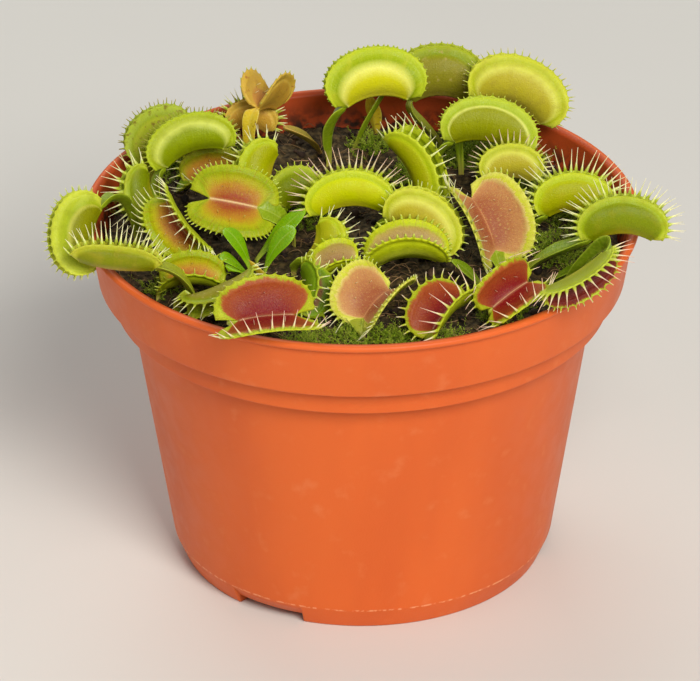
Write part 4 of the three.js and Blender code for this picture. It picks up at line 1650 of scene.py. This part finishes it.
@dataclass
class Peat:
    """The peat that fills the pot, with the moss, fibres and crumbs on it."""

    edge: float = 55.2
    rings: int = 120
    columns: int = 360
    noise: Lattice = field(default_factory=lambda: Lattice(7))

    SEED = 31
    FIBRES = 900
    FIBRE_STATIONS = 7
    FIBRE_REACH = 54.3
    FIBRE_SINK = 0.3
    CRUMBS = 1100
    SCATTER_REACH = 54.0
    SHOOTS = 2900
    SHOOT_LEAVES = 16
    SHOOT_REACH = 54.2
    SHOOT_TURN = 2.4
    LEAFLET = 0.09
    WALL = (
        (55.0, 71.5), (54.6, 67.9), (52.5, 67.5), (51.9, 62.2), (48.5, 61.6), (39.6, 4.55),
        (0.3, 4.55),
    )
    MOSS = (
        (24.0, 42.0, 10.0), (-1.0, -44.0, 7.5), (45.0, 15.0, 9.0), (-49.0, 17.0, 6.5),
        (-31.0, 42.0, 7.0), (-23.0, 12.0, 6.5), (-12.0, 12.5, 5.5), (19.0, -46.0, 5.0),
        (-42.0, -21.0, 5.0), (43.0, -5.0, 8.0), (8.0, -44.0, 5.0), (34.0, 27.0, 7.0),
        (12.0, 30.0, 6.0), (-40.0, 33.0, 6.0), (30.0, -33.0, 6.0), (-12.0, -45.0, 5.0),
        (46.0, -18.0, 5.0), (-8.0, 20.0, 5.0), (2.0, 44.0, 5.0), (38.0, 40.0, 6.0),
    )

    def height(self, x: Array, y: Array) -> Array:
        """The crumbled surface: the mounds with four octaves of noise and a sunken edge.

        Args:
            x: places along X.
            y: places along Y.

        Returns:
            The heights.
        """
        rough = 0.75 * self.noise.at(x, y, 6.3) + 0.5 * self.noise.at(y, x, 2.9)
        rough = rough + 0.34 * self.noise.at(x + 40, y, 1.35) + 0.16 * self.noise.at(y, x + 9, 0.7)
        fade = 1 - smooth(self.edge - 2, self.edge, np.hypot(x, y))
        return peat_level(x, y) + rough * (0.35 + 0.65 * fade) - 0.5 * (1 - fade)

    def surface(self) -> Surface:
        """The filling: a crumbled top, and sides that follow the pot's wall down to its floor.

        Returns:
            The closed filling.
        """
        radii = self.edge * np.linspace(0.004, 1, self.rings)
        a = 2 * np.pi * np.arange(self.columns) / self.columns
        x, y = radii[:, None] * np.cos(a), radii[:, None] * np.sin(a)
        top = np.stack([x, y, self.height(x, y)], -1)
        radius, level = np.array(self.WALL)[:, :, None].swapaxes(0, 1)
        side = np.stack([radius * np.cos(a), radius * np.sin(a), level + 0 * a], -1)
        hubs = [(0, 0, top[0, :, 2].mean()), (0, 0, self.WALL[-1][1])]
        return capped(np.concatenate([top, side]), hubs, {})

    def scatter(self, count: int, rng: np.random.Generator) -> tuple[Array, Array]:
        """Random places on the peat, even over its disc.

        Args:
            count: how many places.
            rng: what they are drawn from.

        Returns:
            Their X and their Y.
        """
        radius = self.SCATTER_REACH * np.sqrt(rng.uniform(0, 1, count))
        turn = rng.uniform(0, 2 * np.pi, count)
        return radius * np.cos(turn), radius * np.sin(turn)

    def fibres(self) -> Surface:
        """Root fibres that lie bent on the peat, each a slim three-sided tube.

        Returns:
            All fibres as one surface.
        """
        rng = np.random.default_rng(self.SEED)
        count = self.FIBRES
        x, y = self.scatter(count, rng)
        turn, bend = rng.uniform(0, 2 * np.pi, count), rng.normal(0, 1.1, count)
        length, arch = rng.uniform(2.0, 8.0, count), np.abs(rng.normal(0, 0.7, count))
        u = np.linspace(0, 1, self.FIBRE_STATIONS)[None, :]
        way = turn[:, None] + bend[:, None] * u
        step = length[:, None] / (self.FIBRE_STATIONS - 1)
        px = x[:, None] + np.cumsum(step * np.cos(way), 1)
        py = y[:, None] + np.cumsum(step * np.sin(way), 1)
        limit = np.maximum(np.hypot(px, py) / self.FIBRE_REACH, 1)
        px, py = px / limit, py / limit
        bow = np.sin(np.pi * u)
        pz = self.height(px, py) + 0.1 + arch[:, None] * bow - self.FIBRE_SINK * (1 - bow)
        paths = np.stack([px, py, pz], -1)
        half = rng.uniform(0.05, 0.15, count)[:, None] * (1 - 0.5 * u)
        shade = rng.uniform(0, 1, count)[:, None]
        return tubes(paths, UP, half, half, 3, {"shade": shade}, 0)

    def crumbs(self) -> Surface:
        """Loose crumbs: stubby six-sided grains, partly sunk, turned every way.

        Returns:
            All crumbs as one surface.
        """
        rng = np.random.default_rng(self.SEED + 1)
        count = self.CRUMBS
        x, y = self.scatter(count, rng)
        size = rng.gamma(3.0, 0.17, count)
        way = unit(rng.normal(0, 1, (count, 3)))
        centre = np.stack([x, y, self.height(x, y) + 0.25 * size], -1)
        u = np.linspace(-1, 1, 4)
        paths = centre[:, None] + (size[:, None] * u)[..., None] * way[:, None]
        half = size[:, None] * np.array([0.25, 0.8, 0.85, 0.3]) * rng.uniform(0.75, 1.2, (count, 4))
        shade = rng.uniform(0, 0.75, count)[:, None]
        across = unit(rng.normal(0, 1, (count, 1, 3)))
        return tubes(paths, across, half, 0.8 * half, 6, {"shade": shade}, 0)

    def moss(self) -> Surface:
        """Moss shoots in patches: along each shoot small pointed leaves stand off by turns.

        A shoot runs along base + length (s stem + 0.4 s^2 level), s from 0 to 1, where level is the
        stem's level part, and its leaves turn by 2.4 radians from one to the next.

        Returns:
            All leaves as one surface.
        """
        rng = np.random.default_rng(self.SEED + 2)
        patches = np.array(self.MOSS)
        shares = patches[:, 2] ** 2 / (patches[:, 2] ** 2).sum()
        count, leaves = self.SHOOTS, self.SHOOT_LEAVES
        home = patches[rng.choice(len(patches), count, p=shares)]
        radius = home[:, 2] * rng.uniform(0, 1, count) ** 0.7
        turn = rng.uniform(0, 2 * np.pi, count)
        x, y = home[:, 0] + radius * np.cos(turn), home[:, 1] + radius * np.sin(turn)
        limit = np.maximum(np.hypot(x, y) / self.SHOOT_REACH, 1)
        x, y = x / limit, y / limit
        length = (1.2 + rng.gamma(2.0, 0.9, count)) * (1.15 - 0.5 * radius / home[:, 2])
        lean = rng.normal(0, 0.5, (count, 2))
        stem = unit(np.stack([lean[:, 0], lean[:, 1], np.ones(count)], -1))
        bend = 0.4 * length[:, None] * stem * [1, 1, 0]
        base = np.stack([x, y, self.height(x, y) - 0.2], -1)
        share = (np.arange(leaves) + 0.6) / leaves
        at = base[:, None] + (length[:, None] * share)[..., None] * stem[:, None]
        at = at + (share ** 2)[:, None] * bend[:, None]
        spin = self.SHOOT_TURN * np.arange(leaves) + rng.uniform(0, 6.3, (count, 1))
        level = np.stack([np.cos(spin), np.sin(spin), np.zeros_like(spin)], -1)
        way = unit(level + 0.75 * stem[:, None] + rng.normal(0, 0.2, level.shape))
        way = way * (rng.uniform(0.5, 1.0, (count, leaves)) * (1.2 - 0.6 * share))[..., None]
        shade = np.clip(0.25 + 0.6 * share + rng.normal(0, 0.14, (count, 1)), 0, 1)
        half = np.full(count * leaves, self.LEAFLET)
        return spikes(at.reshape(-1, 3), way.reshape(-1, 3), half, {"shade": shade.reshape(-1)}, 0)

    def build(self, shop: Workshop) -> None:
        """Puts the peat and what lies on it into the scene.

        Args:
            shop: the workshop.
        """
        slot = shop.slots["peat"]
        peat = PeatFinish().material("peat")
        shop.build("peat_filling", [self.surface()], [peat], slot, ["peat"])
        fibre = ScatterFinish(0x3A2A18, 0x7C5C38, 0xB89468).material("peat_fibre")
        shop.build("peat_fibres", [self.fibres()], [fibre], slot)
        crumb = ScatterFinish(0x140D08, 0x38261A, 0x6A4C34, 0.85).material("peat_crumb")
        shop.build("peat_crumbs", [self.crumbs()], [crumb], slot)
        moss = ScatterFinish(0x4A6408, 0x8CAC14, 0xC0D048, 0.6, 0.2).material("moss")
        shop.build("moss", [self.moss()], [moss], "leaf_green")


TRAP_LEAVES = (
    TrapLeaf(1, (-7, 36), (3.5, 35, 91), (5, 5, -25), (14.5, 11.5), Closing.CLAM, 0.9, Look.BRIGHT,
             Fringe(22, share=(0.4, 0.4), bead=0.16), Teeth.GREEN, Blade.FRESH, 3.2),
    TrapLeaf(2, (18, 42), (17.3, 44, 86.5), (0, 0, -20), (12, 12), Closing.CLAM, 0.9, Look.OLIVE,
             Fringe(19, share=(0.6, 0.6), bead=0.12), Teeth.PINK, Blade.OLIVE),
    TrapLeaf(3, (22, 30), (33.5, 35, 88.5), (-10, -20, -25), (15, 11.5), Closing.CLAM, 1.2,
             Look.PALE, Fringe(16, share=(1.2, 1.1), ends=(0.8, 0.8), bead=0.1), Teeth.PINK,
             Blade.FRESH),
    TrapLeaf(4, (16, 25), (27.5, 23, 86), (-5, -10, -25), (14.5, 10), Closing.CLAM, 1.4, Look.NEON,
             Fringe(18, share=(0.4, 0.5), bead=0.1), Teeth.GREEN, Blade.FRESH),
    TrapLeaf(5, (25, 14.5), (32.5, 15.5, 81), (0, 0, -25), (9, 7.5), Closing.CLAM, 3.0, Look.PALE,
             Fringe(13), Teeth.PINK, Blade.OLIVE),
    TrapLeaf(6, (12, 5), (11, 9, 85), (135, 55, 12), (14, 8.5), Closing.CLAM, 6, Look.LIME,
             Fringe(18, (-30, -45), (0.8, 0.8)), Teeth.CREAM, Blade.DEEP),
    # trap 7 takes the brighter lime copy, painted light against the shade its neighbours cast
    TrapLeaf(7, (8.5, -2.5), (-2.5, -2, 83.5), (-180, -5, 20), (13.5, 8), Closing.CLAM, 5,
             Look.LIME_PAINTED_LIGHT, Fringe(17), Teeth.PINK, Blade.FRESH),
    TrapLeaf(8, (1.5, -8.5), (12, -10.5, 81), (-20, -30, -25), (12, 10), Closing.CLAM, 1.6,
             Look.PALE, Fringe(19, bead=0.1), Teeth.CREAM, Blade.FRESH),
    TrapLeaf(9, (-14.5, -15.5), (-9.5, -16, 81.5), (55, 55, 110), (7.5, 7), Closing.CLAM, 3.5,
             Look.LIME, Fringe(12), Teeth.CREAM, Blade.FRESH),
    TrapLeaf(10, (0, -17.5), (9.5, -19, 80), (0, 5, -5), (13.5, 8), Closing.AJAR, 1.8, Look.BEIGE,
             Fringe(22, share=(0.35, 0.5), bead=0.3), Teeth.GREEN, Blade.FRESH),
    TrapLeaf(11, (-10, -26), (-5, -23, 79.5), (10, 15, 10), (7, 6), Closing.AJAR, 2.5, Look.BEIGE,
             Fringe(13, share=(0.3, 0.35), bead=0.28), Teeth.GREEN, Blade.DEEP),
    TrapLeaf(12, (0, -43), (2.9, -37.05, 78.4), (50, 20, 0), (9.2, 10), Closing.CUP, 2.2,
             Look.BLUSH, Fringe(23, share=(0.4, 0.4), ends=(4.5, 0.8), bead=0.17), Teeth.CREAM,
             Blade.OLIVE),
    TrapLeaf(13, (13.5, -46.5), (17.9, -42.9, 78.8), (45, 20, -11), (9.8, 8.3), Closing.CUP, 5.5,
             Look.RED, Fringe(15, (-35, 0), (1.0, 0.4)), Teeth.PINK, Blade.OLIVE),
    TrapLeaf(14, (31, -41), (31.25, -41.65, 82.75), (35, 20, 35), (9.6, 7), Closing.CUP, 4.5,
             Look.RED, Fringe(13, (-50, -20), (1.05, 0.9)), Teeth.PINK, Blade.OLIVE),
    TrapLeaf(15, (43, -26), (45.3, -42.8, 88), (205, -22, -108), (14, 5.6), Closing.VEE, 5,
             Look.ROOF, Fringe(17, share=(1.05, 0.2), ends=(0.8, 0.7), bead=0.12), Teeth.PINK,
             Blade.DEEP),
    TrapLeaf(16, (35, -18), (55.5, -18, 85), (0, 0, -20), (13.5, 8.5), Closing.CLAM, 5.2,
             Look.GREEN, Fringe(20, share=(0.78, 0.78), ends=(0.8, 0.8)), Teeth.CREAM, Blade.DEEP,
             4.0),
    TrapLeaf(17, (37, 0), (45.5, -3.5, 83), (0, 0, -20), (11.5, 8.5), Closing.CLAM, 5.2, Look.LIME,
             Fringe(17), Teeth.CREAM, Blade.FRESH),
    TrapLeaf(18, (29.5, -14.5), (26.5, -7, 81.3), (125, 45, 0), (12.5, 10.5), Closing.CUP, 2.8,
             Look.BLUSH, Fringe(20, share=(0.45, 1.5), bead=0.22), Teeth.CREAM, Blade.FRESH, 1.7),
    TrapLeaf(19, (-14.5, -1), (-27.5, -0.5, 83), (175, 10, -45), (10.5, 8), Closing.WIDE, 1.5,
             Look.ORANGE, Fringe(24, share=(0.5, 0.5), bead=0.17), Teeth.GREEN, Blade.FRESH),
    TrapLeaf(20, (-20, -40.5), (-20, -55.4, 85), (12, 0, 26), (11.7, 8.7), Closing.OPEN, 3.6,
             Look.RED, Fringe(17, (-60, -40), (1.3, 0.4), (0.3, 0.45), 0.08), Teeth.PINK,
             Blade.OLIVE),
    TrapLeaf(21, (-14, -37), (-12, -34, 80), (80, 50, 75), (8, 6.5), Closing.AJAR, 2.2, Look.DARK,
             Fringe(12), Teeth.CREAM, Blade.DEEP, 2.0),
    TrapLeaf(22, (-19.5, 11), (-20, 13.5, 82.5), (80, 60, -70), (10, 8), Closing.CLAM, 3.6,
             Look.LIME, Fringe(14), Teeth.CREAM, Blade.FRESH),
    TrapLeaf(23, (-19, 8), (-13.5, 7.5, 79), (5, 10, -25), (5.5, 8.5), Closing.CLAM, 1, Look.GREEN,
             Fringe(10, bead=0.12), Teeth.GREEN, Blade.FRESH, 1.8),
    TrapLeaf(24, (-40, 22), (-32.5, 22, 77.5), (5, 5, 20), (10, 6.5), Closing.AJAR, 3.5,
             Look.TANNED, Fringe(13), Teeth.CREAM, Blade.DEEP, 2.0),
    TrapLeaf(25, (-46.5, 20), (-41.5, 24.5, 81.5), (15, 25, -25), (8, 12.5), Closing.CLAM, 0.8,
             Look.SPOTTED, Fringe(20, share=(1.5, 1.5), ends=(0.9, 0.9), bead=0.08), Teeth.BROWN,
             Blade.OLIVE),
    TrapLeaf(26, (-44, 11), (-36.5, 16, 87.5), (10, 15, -25), (14, 8.5), Closing.CLAM, 0.8,
             Look.BANANA, Fringe(24, share=(1.4, 1.4), ends=(0.9, 0.9), bead=0.08), Teeth.BROWN,
             Blade.FRESH),
    TrapLeaf(27, (-24, 31), (-20.5, 37, 87), (55, -20, -10), (7, 9), Closing.VEE, 0.5, Look.YELLOW,
             Fringe(11, bead=0.1), Teeth.CREAM, Blade.YELLOW, 1.8),
    TrapLeaf(28, (-30, 39), (-24, 41, 80.5), (-5, -5, -20), (7.5, 6), Closing.CLAM, 1.6,
             Look.YELLOW, Fringe(14, share=(1.7, 1.5)), Teeth.CREAM, Blade.YELLOW, 1.8),
    TrapLeaf(29, (-40, 2.5), (-45.5, 3, 83), (130, 55, -105), (10, 6.5), Closing.CLAM, 5,
             Look.GREEN, Fringe(14), Teeth.CREAM, Blade.DEEP),
    TrapLeaf(30, (-38, -13.5), (-38.8, -12.6, 84.3), (145, 45, -80), (11.8, 7), Closing.AJAR, 5,
             Look.ORANGE, Fringe(20, share=(0.85, 0.85)), Teeth.CREAM, Blade.FRESH),
    TrapLeaf(31, (-35, -31.5), (-52, -32.3, 84.6), (175, 5, 10), (16, 5.5), Closing.SHUT, 4.6,
             Look.GOLDEN, Fringe(14, (18, 18), (1.1, 1.1), (0.35, 0.35)), Teeth.CREAM, Blade.OLIVE),
    TrapLeaf(32, (-48.3, -4.6), (-57.5, -21, 86.5), (-100, -60, 70), (11.5, 10), Closing.CLAM, 1.0,
             Look.RINGED, Fringe(22, share=(1.3, 1.3), bead=0.08), Teeth.CREAM, Blade.FRESH),
    TrapLeaf(33, (-43.5, -25.5), (-36, -25.5, 77.5), (0, 0, 10), (10.5, 6.5), Closing.AJAR, 1,
             Look.ORANGE, Fringe(14, share=(1.2, 1.2), bead=0.14), Teeth.GREEN, Blade.OLIVE, 2.0),
    TrapLeaf(34, (-39.5, -32.5), (-30, -34.5, 80), (10, 20, 90), (12, 6.5), Closing.CLAM, 3.6,
             Look.OLIVE, Fringe(15), Teeth.CREAM, Blade.OLIVE, 2.0),
)

PLAIN_LEAVES = (
    PlainLeaf("plain_leaf_01", (-1.5, 43), (1.5, 42, 81), (5.5, 41, 89), 2.0, 0.5, Blade.FRESH),
    PlainLeaf("plain_leaf_02", (3.5, 49.5), (3, 47.5, 79), (2, 45.5, 85), 1.8, 0.6, Blade.YELLOW,
              fold=0.1),
    PlainLeaf("dead_leaf", (-9, 42), (-12, 41, 77), (-17, 38.5, 81), 2.6, 0.45, Blade.DRIED,
              fold=0.3),
    PlainLeaf("plain_leaf_03", (-21, -15), (-18, -13, 79), (-14, -12, 82.5), 3.3, 0.7, Blade.SPOON,
              0.5, 0.12),
    PlainLeaf("plain_leaf_04", (-22.5, -9), (-17, -6, 79), (-12, -4, 83), 2.8, 0.6, Blade.SPOON,
              0.5, 0.12),
    PlainLeaf("plain_leaf_05", (-23.5, -17), (-27.2, -18, 77.6), (-30.4, -18.2, 79.2), 3, 0.65,
              Blade.SPOON, 0.5, 0.12),
    PlainLeaf("plain_leaf_06", (-23.5, -20.5), (-26, -22.6, 77.8), (-28.4, -24.8, 79.8), 2.5, 0.65,
              Blade.SPOON, 0.5, 0.12),
    PlainLeaf("plain_leaf_07", (-23.5, -14), (-26.5, -12.5, 79.5), (-29.6, -11, 82), 2.5, 0.6,
              Blade.SPOON, 0.5, 0.12),
    PlainLeaf("plain_leaf_08", (-20, -22.5), (-22, -24.5, 79), (-24, -26.5, 83), 2.0, 0.3,
              Blade.YELLOW, 0.9),
    PlainLeaf("plain_leaf_09", (26, -22), (22.5, -21.5, 77), (19, -20.5, 79.5), 2.0, 0.55,
              Blade.DEEP),
    PlainLeaf("plain_leaf_10", (31, -25), (31, -27, 77), (31.5, -29, 80.5), 1.6, 0.5, Blade.DEEP),
    PlainLeaf("plain_leaf_11", (38, -22), (44, -24, 78.5), (50, -24, 80.5), 2.0, 0.6, Blade.DEEP),
)


@dataclass
class Lamp:
    """A soft square area light that looks at the middle of the plant."""

    name: str
    place: Triple
    side: float
    power: float
    colour: Triple = (1.0, 1.0, 1.0)


@dataclass
class Studio:
    """The floor, the lights and the camera of the photograph.

    The camera looks along +Y and down by elevation at a point that lies aside from the pot's axis
    and over the floor; focal is its focal length in pixels of the 700 pixel wide frame. LAMP_AIM
    is the height over the floor, in metres, that the lamps look at.
    """

    frame_width: int = 700
    focal: float = 8300.0
    elevation: float = 28.8
    distance: float = 1800.0
    aside: float = -2.6
    aim: float = 48.8
    roll: float = -0.0054
    sensor: float = 36.0
    floor_half: float = 2.5
    sky: float = 0.2
    lamps: tuple[Lamp, ...] = (
        Lamp("key", (0.35, -1.0, 0.95), 0.55, 18.5, (1.0, 0.97, 0.91)),
        Lamp("fill", (-0.95, -0.55, 0.6), 0.9, 1.5, (0.94, 0.97, 1.0)),
        Lamp("back", (-0.25, 0.85, 0.95), 0.8, 5.0, (1.0, 1.0, 0.96)),
    )

    LAMP_AIM = 0.06

    def build(self, axis: Array) -> None:
        """Puts floor, lights, sky and camera into the scene.

        Args:
            axis: the foot of the pot's axis, in metres.
        """
        self.lay_floor()
        for lamp in self.lamps:
            self.hang(lamp, axis)
        world = bpy.data.worlds.new("studio")
        world.use_nodes = True
        backdrop = world.node_tree.nodes["Background"]
        backdrop.inputs["Color"].default_value = (1.0, 1.0, 1.0, 1.0)
        backdrop.inputs["Strength"].default_value = self.sky
        bpy.context.scene.world = world
        bpy.context.scene.view_settings.view_transform = "Standard"
        self.place_camera(axis)

    def lay_floor(self) -> None:
        """A pale square floor under the pot."""
        half = self.floor_half
        mesh = bpy.data.meshes.new("studio_floor")
        corners = [(-half, -half, 0), (half, -half, 0), (half, half, 0), (-half, half, 0)]
        mesh.from_pydata(corners, [], [(0, 1, 2, 3)])
        mesh.materials.append(FloorFinish().material("floor"))
        floor = bpy.data.objects.new("studio_floor", mesh)
        bpy.context.scene.collection.objects.link(floor)

    def hang(self, lamp: Lamp, axis: Array) -> None:
        """One area light, turned to the plant.

        Args:
            lamp: the light.
            axis: the foot of the pot's axis, in metres.
        """
        light = bpy.data.lights.new(lamp.name, "AREA")
        light.size = lamp.side
        light.energy = lamp.power
        light.color = lamp.colour
        place = np.array(lamp.place) + axis
        away = unit(place - axis - UP * self.LAMP_AIM)
        right = unit(np.cross(UP, away))
        self.put(bpy.data.objects.new(lamp.name, light), right, np.cross(away, right), away, place)

    def place_camera(self, axis: Array) -> None:
        """The camera, from its elevation, distance, roll and focal length.

        Args:
            axis: the foot of the pot's axis, in metres.
        """
        e = np.radians(self.elevation)
        away = np.array([0.0, -np.cos(e), np.sin(e)])
        level, lift = np.array([1.0, 0.0, 0.0]), np.array([0.0, np.sin(e), np.cos(e)])
        right = level * np.cos(self.roll) + lift * np.sin(self.roll)
        up = lift * np.cos(self.roll) - level * np.sin(self.roll)
        lens = bpy.data.cameras.new("photograph")
        lens.sensor_fit = "HORIZONTAL"
        lens.sensor_width = self.sensor
        lens.lens = self.focal * self.sensor / self.frame_width
        target = np.array([self.aside, 0.0, self.aim])
        camera = bpy.data.objects.new("photograph", lens)
        self.put(camera, right, up, away, axis + (target + away * self.distance) * MM)
        bpy.context.scene.camera = camera

    @staticmethod
    def put(thing: bpy.types.Object, right: Array, up: Array, away: Array, place: Array) -> None:
        """Links an object whose local axes and place are given.

        Args:
            thing: the object.
            right: its own X axis.
            up: its own Y axis.
            away: its own Z axis.
            place: where it stands, in metres.
        """
        bpy.context.scene.collection.objects.link(thing)
        turn = np.eye(4)
        turn[:3, :3] = np.stack([right, up, away], -1)
        turn[:3, 3] = place
        thing.matrix_world = Matrix(turn.tolist())


def main() -> None:
    """Builds the plant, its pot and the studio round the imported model."""
    logging.basicConfig(level=logging.INFO, format="%(message)s")
    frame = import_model()
    shop = Workshop(frame["record"])
    finishes = {
        str(kind): kind.value.material(f"{type(kind).__name__}_{kind.name}".lower())
        for group in (Look, Teeth, Blade) for kind in group
    }
    Pot().build(shop, PlasticFinish().material("pot_plastic"))
    Peat().build(shop)
    for leaf in (*TRAP_LEAVES, *PLAIN_LEAVES):
        leaf.build(shop, finishes)
    Studio().build(shop.axis)


if __name__ == "__main__":
    main()
